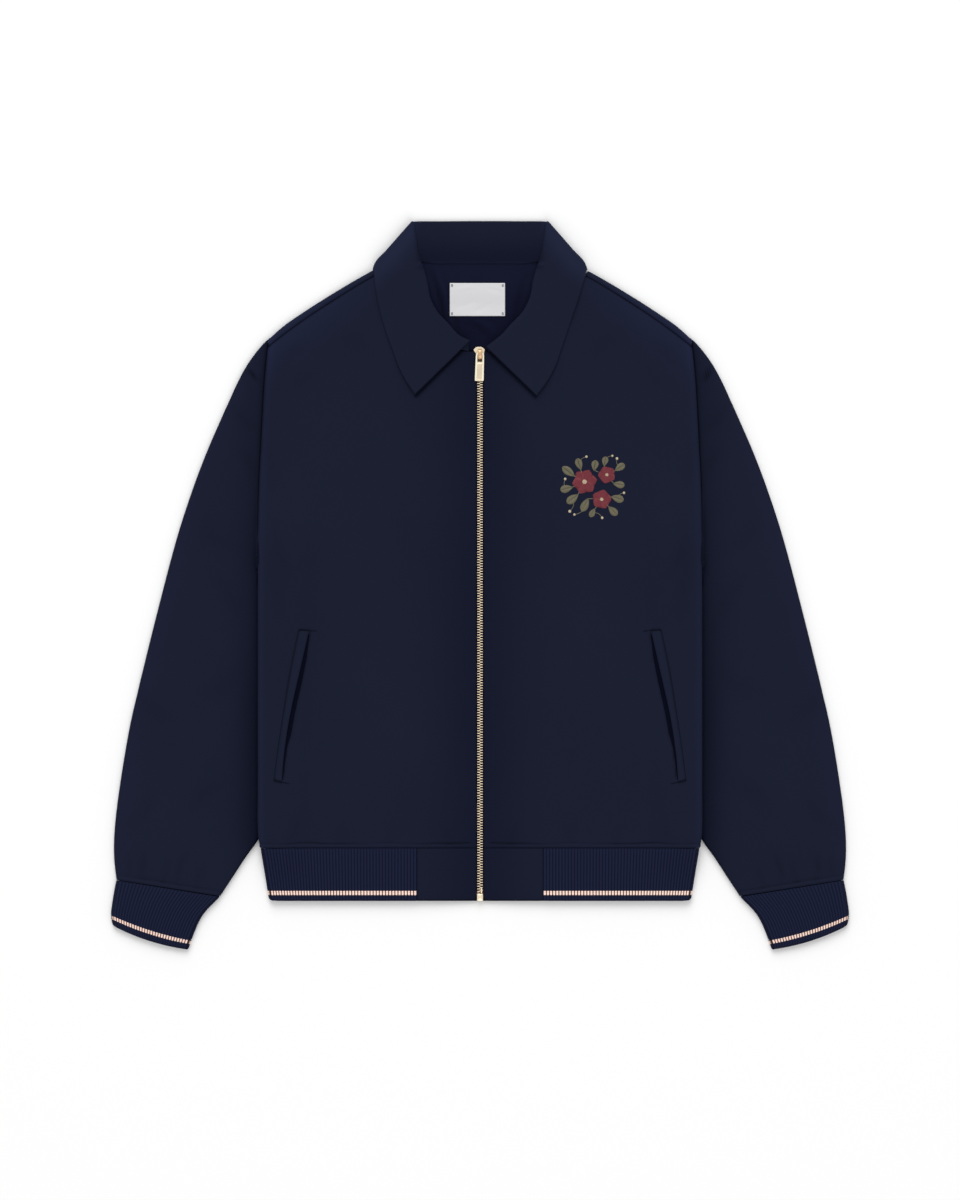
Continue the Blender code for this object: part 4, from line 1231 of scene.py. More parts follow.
def hem_puff(grid):
    """The line over the hem seam, where the seam allowance folds up inside and lifts the cloth."""
    x = np.abs(grid[..., 0])
    above = grid[..., 1] - HEM_SEAM_Y
    wander = 0.5 * np.sin(x / 13.0) + 0.35 * np.sin(x / 7.3 + 1.0)
    beyond_zip = soft_step(7.0, 14.0, x)
    trough = -0.95 * np.exp(-(((above - 4.6 - wander) / 1.1) ** 2)) * (0.75 + 0.25 * np.sin(x / 21.0))
    ridge = 0.45 * np.exp(-(((above - 2.4) / 1.4) ** 2))
    return (trough + ridge) * beyond_zip


def front_relief(grid, side):
    settings = bpy.context.scene.jacket_cloth
    raised = crease_field(grid, FRONT_CREASES, side) * settings.crease_share
    calm = soft_step(0.0, 26.0, from_edge(grid, "low")) * soft_step(0.0, 20.0, from_edge(grid, "high"))
    raised += undulation(grid, 0.14, 0.7 + side) * calm
    raised += hem_puff(grid)
    x = np.abs(grid[..., 0])
    y = grid[..., 1]
    zip_side, arm_side = inner_and_outer(side)
    raised += seam_roll(grid, "low", 0.45, 1.5) * (0.25 + 0.75 * soft_step(7.0, 14.0, x))
    raised += seam_roll(grid, "high", *SHOULDER_ROLL) * soft_step(16.0, 34.0, x)
    raised += seam_roll(grid, zip_side, *ZIP_ROLL)
    raised += seam_roll(grid, arm_side, *ARMHOLE_ROLL) * soft_step(UNDERARM_Y, UNDERARM_Y + 14.0, y)
    # The pocket opening's slit, beside the welt.
    slit_x = read(WELT_OPENING, y)
    gape = np.interp(y, SLIT_Y, SLIT_GAPE)
    along = soft_step(-213.0, -206.0, y) * soft_step(-49.0, -56.0, y)
    raised -= 1.2 * bump_at(x - slit_x + gape / 2, 1.2 + gape / 2) * along
    return raised


def outer_points(made):
    """A tree to look up the outer face of a shell by a straight look down."""
    return BVHTree.FromPolygons(made.vertices.tolist(), made.faces.tolist())


def height_on(tree, x, y):
    hit = tree.ray_cast(Vector((x, y, 100.0)), Vector((0.0, 0.0, -1.0)))
    if hit[0] is None:
        raise ValueError("a piece lies off the panel that carries it")
    return hit[0].z


FRONT_TREES = {}


def build_fronts():
    for name, side in SIDES:
        grid = handed(front_grid(), side)
        made = shell(grid, CLOTH, front_relief(grid, side), rim_share=soft_rim(grid, "low"))
        FRONT_TREES[side] = outer_points(made)
        cloth_piece("front_" + name, made, grid, front_tone)


def build_back():
    settings = bpy.context.scene.jacket_cloth
    grid = fine_grid(back_rows(), mesh_size() * 1.3)
    raised = crease_field(grid, BACK_CREASES) * settings.crease_share
    calm = soft_step(0.0, 30.0, from_edge(grid, "low"))
    raised += (undulation(grid, 0.3, 2.1) - 0.3) * calm
    lowest = np.vectorize(lift)(np.nan_to_num(grid[..., 0]), grid[..., 1])
    raised *= soft_step(3.0, 1.0, grid[..., 2] - lowest)
    raised += seam_roll(grid, "low", 0.7, 2.0) + seam_roll(grid, "high", *SHOULDER_ROLL)
    raised = np.nan_to_num(raised)
    cloth_piece("back", shell(grid, CLOTH, raised), grid, front_tone)


def seam_strip(name, line, widths):
    """The turned-in edges under a seam, which keep it dark with painted shade. line holds x, y, z."""
    line = np.array(line, float)
    run = np.gradient(line[:, :2], axis=0)
    run /= np.linalg.norm(run, axis=1, keepdims=True)
    aside = np.stack([run[:, 1], -run[:, 0]], axis=1)
    rows = []
    for place, across, width in zip(line, aside, np.broadcast_to(widths, len(line))):
        rows.append([(*(place[:2] - across * width * share), place[2]) for share in (0.5, 0.0, -0.5)])
    made = shell(fine_grid(rows, STRIP_MESH, (False, False), (False, False)), SEAM_STRIP_WALL)
    new_piece(name, made, [facing_material()], tone=in_shade)


def build_seams():
    for name, side in SIDES:
        armhole = []
        armhole_widths = []
        for y in np.linspace(-24.0, 261.0, 24):
            # The strip lies low and wide at the underarm, inside the sleeve, and narrows at the shoulder.
            hidden = smooth(230.0, 258.0, y)
            x = read(SIDE, y) + 1.5 - 3.0 * hidden
            armhole.append((x, y, mix(2.2, lift(x, y) + STACK / 2, smooth(50.0, 120.0, y))))
            armhole_widths.append(UNDERARM_STRIP - 9.0 * smooth(50.0, 120.0, y) - 6.0 * hidden)
        end = SLEEVE[-1]
        wrist = []
        for share in np.linspace(0.0, 1.0, 8):
            x = mix(end.outer_x - 3.0, end.inner_x + 3.0, share)
            wrist.append((x, mix(end.outer_y, end.inner_y, share), SLEEVE_STACK / 2))
        for part, line, width in (("armhole", armhole, armhole_widths), ("wrist", wrist, SEAM_STRIP)):
            line = [(x * side, y, z) for x, y, z in line]
            seam_strip(part + "_seam_" + name, line[:: -side], np.broadcast_to(width, len(line))[:: -side])
    places = np.linspace(-232.0, 232.0, 60)
    hem = [(x, HEM_SEAM_Y - SEAM_GAP / 2, lift(x, HEM_SEAM_Y) + STACK / 2) for x in places]
    seam_strip("hem_seam", hem, SEAM_STRIP)


def build_sleeves():
    settings = bpy.context.scene.jacket_cloth
    for name, side in SIDES:
        rings = as_grid(sleeve_rings())
        grid = refined(rings, mesh_size(), True, True)
        grid = refined(np.swapaxes(grid, 0, 1), mesh_size(), around=True)
        # Rows run up from the cuff seam to the armhole.
        grid = np.swapaxes(grid, 0, 1)[::-1]
        grid = grid[:, ::-1] if side > 0 else grid * np.array([-1.0, 1.0, 1.0])
        top = soft_step(3.0, 5.0, grid[..., 2])
        raised = crease_field(grid, SLEEVE_CREASES, side) * settings.crease_share
        raised += undulation(grid, 0.2, 1.9 + side)
        under = crease_field(grid, SLEEVE_CREASES[2:10], side) * 0.9
        raised = raised * top + np.minimum(under, 0.0) * (1 - top)
        calm = soft_step(0.0, 6.0, from_edge(grid, "low")) * soft_step(0.0, 3.0, from_edge(grid, "high"))
        raised *= 0.3 + 0.7 * calm
        puff = from_edge(grid, "low")
        raised += -0.55 * np.exp(-(((puff - 5.4) / 1.6) ** 2)) * top
        raised += 0.35 * np.exp(-(((puff - 2.6) / 1.5) ** 2)) * top
        seams = seam_roll(grid, "low", 0.35, 1.4) + seam_roll(grid, "high", 0.8, 2.4)
        raised += seams * (0.25 + 0.75 * top)
        made = shell(grid, CLOTH, raised, around=True, rim_share=soft_rim(grid, "low"))
        cloth_piece("sleeve_" + name, made, grid, sleeve_tone, around=True)


def build_collar():
    grid = fine_grid(collar_rows(), COLLAR_MESH)
    made = shell(grid, COLLAR_WALL, undulation(grid, 0.12, 0.4), centred=True)
    cloth_piece("collar", made, grid, collar_tone)


def build_facing():
    rows = []
    for half_width, y in FACING:
        places = [half_width * (step / 4 - 1) for step in range(9)]
        rows += laid_rows([y], places, lambda x, y: lift(x, y) + CLOTH + SEAM_GAP + FACING_WALL)
    grid = fine_grid(rows, FACING_MESH)
    raised = crease_field(grid, FACING_CREASES) * bpy.context.scene.jacket_cloth.crease_share
    raised += undulation(grid, 0.15, 1.1)
    under_label = np.abs(grid[..., 0] - LABEL_X) < LABEL_WIDTH / 2 + 3
    under_label &= np.abs(grid[..., 1] - LABEL_Y) < LABEL_HEIGHT / 2 + 3
    raised = np.where(under_label, np.minimum(raised, 0.0), raised)
    made = shell(grid, FACING_WALL, raised)
    piece = new_piece(
        "facing_cloth", made, [facing_material()], replaces=["back_neck_facing"], tone=facing_tone
    )
    declare_cloth(grid)


def label_height(x, y):
    return lift(x, y) + CLOTH + 2 * SEAM_GAP + FACING_WALL + LABEL_WALL


def build_label():
    heights = [LABEL_Y + LABEL_HEIGHT * (step / 3 - 0.5) for step in range(4)]
    places = [LABEL_X + LABEL_WIDTH * (step / 5 - 0.5) for step in range(6)]
    grid = fine_grid(laid_rows(heights, places, label_height), LABEL_MESH)
    raised = crease_field(grid, LABEL_CREASES) * bpy.context.scene.jacket_cloth.crease_share
    made = shell(grid, LABEL_WALL, raised)
    piece = new_piece("label_satin", made, [satin_material()], replaces=["neck_label"])
    declare_cloth(grid)
    tree = outer_points(made)
    stitches = []
    for corner_x in (-1, 1):
        for corner_y in (-1, 1):
            x = LABEL_X + corner_x * (LABEL_WIDTH / 2 - TACK_INSET)
            y = LABEL_Y + corner_y * (LABEL_HEIGHT / 2 - TACK_INSET)
            for step in range(4):
                place = y - corner_y * step * 0.75
                shares = (0.0, 0.5, 1.0)
                run = [(x - corner_x * share * 2.2, place - corner_y * share * 0.3) for share in shares]
                stitches.append(stitch(run, lambda u, v: height_on(tree, u, v), 0.42, 0.25))
    thread = thread_material("dark thread", (0.006, 0.006, 0.012))
    new_piece("label_tacks", joined(stitches), [thread])


def rib_height(count, steps):
    """Height of each point across a run of round ribs."""
    share = np.arange(count * steps + 1) / steps
    return (0.5 - 0.5 * np.cos(share * math.tau)) ** 0.7


def hem_edge(y):
    """x of the hem's side edge at a height."""
    share = (y - HEM_SEAM_Y) / (HEM_END_Y - HEM_SEAM_Y)
    return mix(HEM_TOP_X + 1.2, HEM_END_X, share)


def hem_corner(y):
    """How far the hem's rounded lower corner lies in from its side edge."""
    above = min(HEM_CORNER, y - HEM_END_Y)
    return HEM_CORNER - math.sqrt(HEM_CORNER**2 - (HEM_CORNER - above) ** 2)


def hem_levels():
    """Heights of the hem's rows, with some on the stripe's edges and more at its ends."""
    top = HEM_SEAM_Y - SEAM_GAP
    levels = {HEM_END_Y, HEM_STRIPE[0] - 0.5, HEM_STRIPE[1] + 0.5, top, top - 0.9, top - 2.0}
    levels |= {HEM_END_Y + step for step in (0.3, 0.9, 1.6, 2.4, 3.4, 4.4, 5.2)}
    levels |= set(np.linspace(*HEM_STRIPE, 13).tolist())
    levels |= set(np.linspace(HEM_STRIPE[1] + 1.6, top - 3.4, 22).tolist())
    return sorted(levels)


def stripe_faces(levels, rows, stripe):
    """1 for the faces in the rows of a stripe, and 0 for the others."""
    middles = (np.array(levels[:-1]) + np.array(levels[1:])) / 2
    return ((middles > stripe[0]) & (middles < stripe[1]))[rows]


def rib_pattern(levels, across):
    """Relief of a rib band: it starts under the seam, and softens into the folded edge."""
    y = np.array(levels)[:, None]
    top = HEM_SEAM_Y - SEAM_GAP
    grow = soft_step(top, top - 3.0, y) * (0.35 + 0.65 * soft_step(HEM_END_Y, HEM_END_Y + 3.0, y))
    ribs = filled_ribs(across, y, HEM_STRIPE)
    return ribs * grow - bead_gaps(y, HEM_STRIPE) * (1.4 - 0.9 * ribs)


def filled_ribs(across, place, stripe):
    """Rib heights along rows, with shallower valleys in a stripe."""
    inside = soft_step(stripe[0] - 0.3, stripe[0] + 0.3, place)
    inside = inside * soft_step(stripe[1] + 0.3, stripe[1] - 0.3, place)
    return across[None, :] + (1 - across[None, :]) * BEAD_FILL * inside


def bead_gaps(place, stripe):
    """1 in the hollows over, between and under the two rows of purl beads of a stripe."""
    share = np.clip((place - stripe[0]) / (stripe[1] - stripe[0]), -0.1, 1.1)
    hollow = np.cos(share * 2 * math.tau) * 0.5 + 0.5
    return hollow**2 * soft_step(-0.1, 0.0, share) * soft_step(1.1, 1.0, share)


def closer_rows(grid, stripe):
    """The grid with closer rows along a stripe, which is measured from the first row."""
    levels = from_edge(grid, "low").mean(axis=1)
    kept = levels[(levels < stripe[0] - 0.7) | (levels > stripe[1] + 0.7)]
    wanted = np.sort(np.concatenate([kept, np.linspace(stripe[0] - 0.4, stripe[1] + 0.4, 15)]))
    row = np.clip(np.searchsorted(levels, wanted, side="right") - 1, 0, len(levels) - 2)
    share = ((wanted - levels[row]) / (levels[row + 1] - levels[row]))[:, None, None]
    return grid[row] * (1 - share) + grid[row + 1] * share


def hem_fold(flat_x, y, start_z, downward):
    """The turn of a rib band at its side edge."""
    points = []
    for degrees in (30, 60, 87):
        angle = math.radians(degrees)
        z = start_z - downward * FOLD_RADIUS * (1 - math.cos(angle))
        points.append((flat_x + FOLD_RADIUS * math.sin(angle), y, z))
    return points


def build_hem():
    relief = bpy.context.scene.jacket_knit.relief / MM
    levels = hem_levels()
    top_x = hem_edge(HEM_SEAM_Y) - SEAM_GAP / 2 - FOLD_RADIUS
    for name, side in SIDES:
        rows = []
        for y in levels:
            edge_x = hem_edge(y) - SEAM_GAP / 2
            flat_x = edge_x - FOLD_RADIUS
            row = []
            for step in range(POINTS_PER_RIB * HEM_RIBS + 1):
                share = step / (POINTS_PER_RIB * HEM_RIBS)
                # The ribs lean in only towards the side edge.
                x = mix(TAB_WIDTH + SEAM_GAP / 2, top_x, share) - (top_x - flat_x) * share**3
                x -= hem_corner(y) * smooth(0.9, 1.0, share)
                row.append((x, y, front_top(x, y)))
            rows.append(row + hem_fold(flat_x - hem_corner(y), y, front_top(edge_x, y), 1.0))
        grid = np.array(rows)
        across = np.concatenate([rib_height(HEM_RIBS, POINTS_PER_RIB), np.zeros(3)])
        raised = rib_pattern(levels, across) * relief
        places = np.stack(np.meshgrid(np.arange(grid.shape[1]) / POINTS_PER_RIB, levels), axis=-1)
        if side < 0:
            grid = handed(grid, side)
            raised = raised[:, ::-1]
            places = places[:, ::-1]
        raised += seam_roll(grid, "low", 0.7, 1.4) + seam_roll(grid, "high", *HEM_TOP_ROLL)
        tab_side = inner_and_outer(side)[0]
        raised += seam_roll(grid, tab_side, 0.25, 1.0)
        soft = soft_rim(grid, tab_side) * soft_rim(grid, "high")
        made = shell(grid, RIB_WALL, raised, coordinates=places, rim_share=soft)
        knit_piece("hem_rib_front_" + name, made, grid, levels, HEM_STRIPE)
    rows = []
    for y in levels:
        edge_x = hem_edge(y) - SEAM_GAP / 2 - hem_corner(y)
        flat_x = edge_x - FOLD_RADIUS
        places = np.linspace(flat_x, -flat_x, HEM_BACK_RIBS * POINTS_PER_BACK_RIB + 1)
        row = [(x, y, lift(x, y)) for x in places]
        fold = hem_fold(flat_x, y, lift(edge_x, y), -1.0)
        rows.append(list(reversed(fold)) + row + [(-x, y, z) for x, y, z in fold])
    grid = np.array(rows)
    across = np.concatenate([np.ones(3), rib_height(HEM_BACK_RIBS, POINTS_PER_BACK_RIB), np.ones(3)])
    grow = soft_step(levels[-1], levels[-1] - 3.0, np.array(levels))[:, None]
    raised = -(1 - across[None, :]) * relief * grow
    raised += seam_roll(grid, "low", 0.6, 1.4) + seam_roll(grid, "high", 0.7, 1.4)
    places = np.stack(np.meshgrid(np.arange(grid.shape[1]) / POINTS_PER_BACK_RIB, levels), axis=-1)
    made = shell(grid, RIB_WALL, raised, coordinates=places)
    knit_piece("hem_rib_back", made, grid, levels, HEM_STRIPE)


def build_hem_tabs():
    heights = (HEM_END_Y, -330.0, -315.0, -300.0, HEM_SEAM_Y - SEAM_GAP)
    places = [mix(ZIP_EDGE_X, TAB_WIDTH - SEAM_GAP / 2, step / 6) for step in range(7)]
    for name, side in SIDES:
        grid = handed(fine_grid(laid_rows(heights, places, front_top), TAB_MESH), side)
        x = np.abs(grid[..., 0])
        raised = undulation(grid, 0.12, 1.3 + side)
        raised += seam_roll(grid, "low", 1.0, 2.0)
        raised += seam_roll(grid, "high", *HEM_TOP_ROLL) * (0.25 + 0.75 * soft_step(7.0, 14.0, x))
        zip_side, rib_side = inner_and_outer(side)
        raised += seam_roll(grid, rib_side, *RIB_SIDE_ROLL) + seam_roll(grid, zip_side, *ZIP_ROLL)
        made = shell(grid, CLOTH, raised, rim_share=soft_rim(grid, rib_side) * soft_rim(grid, "high"))
        cloth_piece("hem_tab_" + name, made, grid, front_tone)


def build_cuffs():
    relief = bpy.context.scene.jacket_knit.relief / MM
    top_points = POINTS_PER_RIB * CUFF_RIBS + 1

    def high_z(point, share):
        return CUFF_STACK - 0.3 * (2 * share - 1) ** 2

    def low_z(point, share):
        return 0.0

    rings = []
    for section, bow in zip(CUFF, CUFF_BOW):
        rings.append(ring(section, CUFF_STACK, low_z, high_z, top_points, top_points, bow=bow))
    coarse = as_grid(rings)
    ribs = rib_height(CUFF_RIBS, POINTS_PER_RIB)
    outward = np.concatenate([ribs, np.zeros(3), -(1 - ribs), np.zeros(3)])
    turns = np.arange(coarse.shape[1]) / POINTS_PER_RIB
    for name, side in SIDES:
        grid = refined(coarse, CUFF_MESH, True, True)[::-1]
        # The stripe runs along the third section.
        middle = float(np.linalg.norm(coarse[3] - coarse[2], axis=-1).mean())
        stripe_rows = (middle - CUFF_STRIPE_HALF, middle + CUFF_STRIPE_HALF)
        grid = closer_rows(grid, stripe_rows)
        grid = grid[:, ::-1] if side > 0 else grid * np.array([-1.0, 1.0, 1.0])
        across, around = (line[::-side] for line in (outward, turns))
        from_seam = from_edge(grid, "high")
        from_hem = from_edge(grid, "low")
        grow = soft_step(0.0, 3.0, from_seam) * (0.35 + 0.65 * soft_step(0.0, 3.0, from_hem))
        top = np.where(across >= 0, 1.0, 0.0)
        filled = np.where(top > 0, filled_ribs(across, from_hem, stripe_rows), across)
        gaps = bead_gaps(from_hem, stripe_rows) * (1.4 - 0.9 * filled) * top
        raised = (filled * grow * CUFF_RELIEF - gaps) * relief
        raised += seam_roll(grid, "low", 0.9, 1.5) + seam_roll(grid, "high", 0.3, 1.2)
        places = np.stack([np.broadcast_to(around, from_hem.shape), from_hem], axis=-1)
        soft = soft_rim(grid, "high")
        made = shell(grid, RIB_WALL, raised, around=True, coordinates=places, rim_share=soft)
        levels = from_hem.mean(axis=1)
        knit_piece("cuff_" + name, made, grid, levels, stripe_rows, around=True)


# Painted shade: a near-black tone for sheets that lie in gaps under seams and in the pocket slits.
def in_shade(points):
    return coloured(np.ones(len(points)), (-0.85, -0.82, -0.62))


# Painted light: the welts are a little lighter than the cloth around them.
def welt_tone(points):
    return coloured(np.ones(len(points)), (0.08, 0.10, 0.10))


def build_welts():
    for name, side in SIDES:
        tree = FRONT_TREES[side]
        rows = []
        for outer, opening in reversed(list(zip(eased(WELT_OUTER, 3), eased(WELT_OPENING, 3)))):
            row = []
            for step in range(5):
                x = mix(opening.x, outer.x, step / 4)
                y = mix(opening.y, outer.y, step / 4)
                row.append(Vector((x, y, front_top(x, y) + 1.5 * SEAM_GAP + WELT_WALL)))
            rows.append(row)
        grid = handed(fine_grid(rows, WELT_MESH), side)
        opening_side, seam_side = inner_and_outer(side)
        raised = seam_roll(grid, seam_side, 1.1, 2.6) + seam_roll(grid, opening_side, 0.35, 1.2)
        raised += seam_roll(grid, "low", *WELT_END_ROLL) + seam_roll(grid, "high", *WELT_END_ROLL)
        cloth_piece("pocket_welt_" + name, shell(grid, WELT_WALL, raised), grid, welt_tone)
        # The lining that shows in the slit along the opening, near black with painted shade.
        rows = []
        for opening in reversed(eased(WELT_OPENING, 6)):
            row = []
            gape = float(np.interp(opening.y, SLIT_Y, SLIT_GAPE))
            for step in range(4):
                x = opening.x + 0.8 - (gape + 0.8) * (1 - step / 3)
                row.append(Vector((x * side, opening.y, height_on(tree, x * side, opening.y) + 0.35)))
            rows.append(row if side > 0 else list(reversed(row)))
        lining = shell(fine_grid(rows[1:-1], LINING_MESH, (False, False), (False, False)), LINING_WALL)
        new_piece("pocket_lining_" + name, lining, [facing_material()], tone=in_shade)
        # Bars of close stitches hold both ends of the opening.
        stitches = []
        for end, slant in ((0, 0.10), (-1, -0.10)):
            outer = WELT_OUTER[end]
            opening = WELT_OPENING[end]
            start_x = opening.x - 7.5
            for step in range(26):
                x = mix(start_x, outer.x - 0.6, step / 25)
                y = mix(opening.y, outer.y, (x - opening.x) / (outer.x - opening.x)) - slant * 4
                lean = 0.35 if step % 2 else -0.35
                run = [(side * (x + lean * share), y + 0.75 * share) for share in (-1.0, 0.0, 1.0)]
                on_welt = x > opening.x - 0.4
                base = 1.5 * SEAM_GAP + WELT_WALL if on_welt else 0.0

                def bar_height(u, v, base=base):
                    return height_on(tree, u, v) + base * 0.8

                stitches.append(stitch(run, bar_height, 0.5, 0.3))
        thread = thread_material("navy thread", (0.003, 0.004, 0.011), 0.04)
        new_piece("pocket_bars_" + name, joined(stitches), [thread])


# Zip.


def tube_faces(count, sides):
    """Faces round a run of rings."""
    faces = []
    for low in range(0, (count - 1) * sides, sides):
        for i in range(sides):
            j = (i + 1) % sides
            faces.append((low + j, low + i, low + sides + i, low + sides + j))
    return faces


def solid(outline, levels):
    """A closed solid from one outline at several heights, each inset towards the outline's middle."""
    outline = np.array(outline, float)
    middle = outline.mean(axis=0)
    count = len(outline)
    vertices = []
    for z, inset in levels:
        away = outline - middle
        reach = np.maximum(np.linalg.norm(away, axis=1, keepdims=True), 1e-6)
        flat = outline - away / reach * np.minimum(inset, reach * 0.8)
        vertices.append(np.column_stack([flat, np.full(count, z)]))
    vertices.append(np.array([[*middle, levels[0][0]], [*middle, levels[-1][0]]]))
    base = len(levels) * count
    top = base - count
    faces = [(b, a, d, c) for a, b, c, d in tube_faces(len(levels), count)]
    faces += [((i + 1) % count, i, base, base) for i in range(count)]
    faces += [(top + i, top + (i + 1) % count, base + 1, base + 1) for i in range(count)]
    vertices = np.concatenate(vertices)
    return plain_shell(vertices, np.array(faces), vertices[:, :2].copy())


TOOTH = [
    (-3.0, -0.62), (-1.5, -0.50), (-0.9, -0.44), (-0.2, -0.62), (0.35, -0.44), (0.35, 0.44), (-0.2, 0.62),
    (-0.9, 0.44), (-1.5, 0.50), (-3.0, 0.62),
]
TOOTH_LEVELS = [
    (3.4, 0.25), (3.7, 0.0), (5.3, 0.0), (5.62, 0.1), (5.8, 0.34),
]


def build_teeth():
    pitch = bpy.context.scene.jacket_zip.tooth_pitch / MM
    left = solid(TOOTH, TOOTH_LEVELS)
    right = solid([(-x, -y) for x, y in TOOTH], TOOTH_LEVELS)
    teeth = []
    count = int((CHAIN_TOP_Y - CHAIN_END_Y - 2.0) / pitch)
    for step in range(count):
        y = CHAIN_END_Y + 1.4 + step * pitch
        teeth.append(left._replace(vertices=left.vertices + np.array([0.0, y, 0.0])))
        teeth.append(right._replace(vertices=right.vertices + np.array([0.0, y + pitch / 2, 0.0])))
    new_piece("zip_teeth", joined(teeth), [metal_material()], replaces=["zip_chain"], crisp=50.0)
    box = [(-3.2, -341.2), (-2.7, -341.7), (2.7, -341.7), (3.2, -341.2)]
    box += [(3.2, -334.6), (2.8, -334.1), (-2.8, -334.1), (-3.2, -334.6)]
    levels = [(3.2, 0.3), (3.5, 0.0), (5.6, 0.0), (6.0, 0.15), (6.2, 0.5)]
    pin = [(1.0, -333.2), (2.0, -333.2), (2.0, -328.4), (1.0, -328.4)]
    made = joined([solid(box, levels), solid(pin, [(3.5, 0.0), (5.7, 0.0), (5.9, 0.2)])])
    new_piece("zip_box_metal", made, [metal_material()], replaces=["zip_bottom_box"], crisp=50.0)


def build_tapes():
    heights = (CHAIN_END_Y, -200.0, -80.0, 60.0, 180.0, CHAIN_TOP_Y - SEAM_GAP)
    places = (CHAIN_HALF_WIDTH + SEAM_GAP, 10.0, TAPE_OUTER_X)
    rows = laid_rows(heights, places, lambda x, y: front_top(x, y) - CLOTH - SEAM_GAP)
    for name, side in SIDES:
        node_name = "zip_tape_" + name
        grid = handed(fine_grid(rows, TAPE_MESH), side)
        made = shell(grid, TAPE_WALL)
        piece = new_piece(node_name + "_woven", made, [facing_material()], replaces=[node_name])
        declare_cloth(grid)


def plate(outline, thickness, top, size, hole=None, recess=None):
    """A rounded metal plate. outline gives its half width at each place along it, hole and recess are
    (half width, low, high), and the recess is also given its depth."""
    places, widths = zip(*outline)
    length = places[-1] - places[0]
    marks = set(np.linspace(places[0], places[-1], max(3, int(length / size))).tolist())
    marks |= {places[0] + 0.25, places[0] + 0.6, places[-1] - 0.25, places[-1] - 0.6}
    if hole:
        marks |= {hole[1], hole[2]}
    along = np.array(sorted(marks))
    shares = {-1.0, -0.95, -0.88, 0.88, 0.95, 1.0}
    shares |= set(np.linspace(-1, 1, max(5, int(2 * max(widths) / size))).tolist())
    if hole:
        wide = float(np.interp((hole[1] + hole[2]) / 2, places, widths))
        shares = {share for share in shares if abs(abs(share) - hole[0] / wide) > 0.03}
        shares |= {-hole[0] / wide, hole[0] / wide}
    across = np.array(sorted(shares))
    half = np.interp(along, places, widths)
    grid = np.zeros((len(along), len(across), 3))
    grid[..., 0] = across[None, :] * half[:, None]
    grid[..., 1] = along[:, None]
    from_side = (1 - np.abs(across))[None, :] * half[:, None]
    from_end = np.minimum(along - along[0], along[-1] - along)[:, None]
    distance = np.minimum(from_side, from_end)
    grid[..., 2] = top
    raised = -0.28 * (1 - np.clip(distance / 0.55, 0.0, 1.0)) ** 2
    if recess:
        inside = soft_step(0.0, 0.45, recess[0] - np.abs(grid[..., 0]))
        inside *= soft_step(recess[1], recess[1] + 0.5, grid[..., 1])
        inside *= soft_step(recess[2], recess[2] - 0.5, grid[..., 1])
        raised = raised - recess[3] * inside
    keep = None
    if hole:
        middle_x = (across[:-1] + across[1:])[None, :] / 2 * half[:-1, None]
        middle_y = (along[:-1] + along[1:])[:, None] / 2
        keep = (np.abs(middle_x) >= hole[0]) | (middle_y <= hole[1]) | (middle_y >= hole[2])
    return shell(grid, thickness, raised, keep=keep)


BAR_SIDES = 12


def swept_bar(path, half_width, half_thickness):
    """A rounded bar along a path in the YZ plane, with closed ends."""
    path = np.array(path, float)
    run = np.gradient(path, axis=0)
    run /= np.linalg.norm(run, axis=1, keepdims=True)
    normal = np.stack([-run[:, 1], run[:, 0]], axis=1)
    rings = []
    for place, (y, z) in enumerate(path):
        ring_points = []
        for step in range(BAR_SIDES):
            angle = math.tau * step / BAR_SIDES
            x = half_width * math.copysign(abs(math.cos(angle)) ** 0.5, math.cos(angle))
            out = half_thickness * math.copysign(abs(math.sin(angle)) ** 0.6, math.sin(angle))
            ring_points.append((x, y + normal[place, 0] * out, z + normal[place, 1] * out))
        rings.append(ring_points)
    rings = np.array(rings)
    vertices = np.concatenate([rings.reshape(-1, 3), rings[[0, -1]].mean(axis=1)])
    faces = tube_faces(len(path), BAR_SIDES)
    base = len(path) * BAR_SIDES
    last = base - BAR_SIDES
    for j in range(BAR_SIDES):
        k = (j + 1) % BAR_SIDES
        faces += [(j, k, base, base), (last + k, last + j, base + 1, base + 1)]
    return plain_shell(vertices, np.array(faces), vertices[:, :2].copy())


# The slider's crown lies a little towards -X.
SLIDER_ASKEW = -0.9
SLIDER_OUTLINE = [
    (SLIDER_END_Y, 3.3), (243.0, 4.2), (247.0, 4.4), (249.6, 4.5), (251.4, 5.3), (253.4, 6.3),
    (254.0, 5.9), (255.6, 4.3), (256.7, 2.2),
]


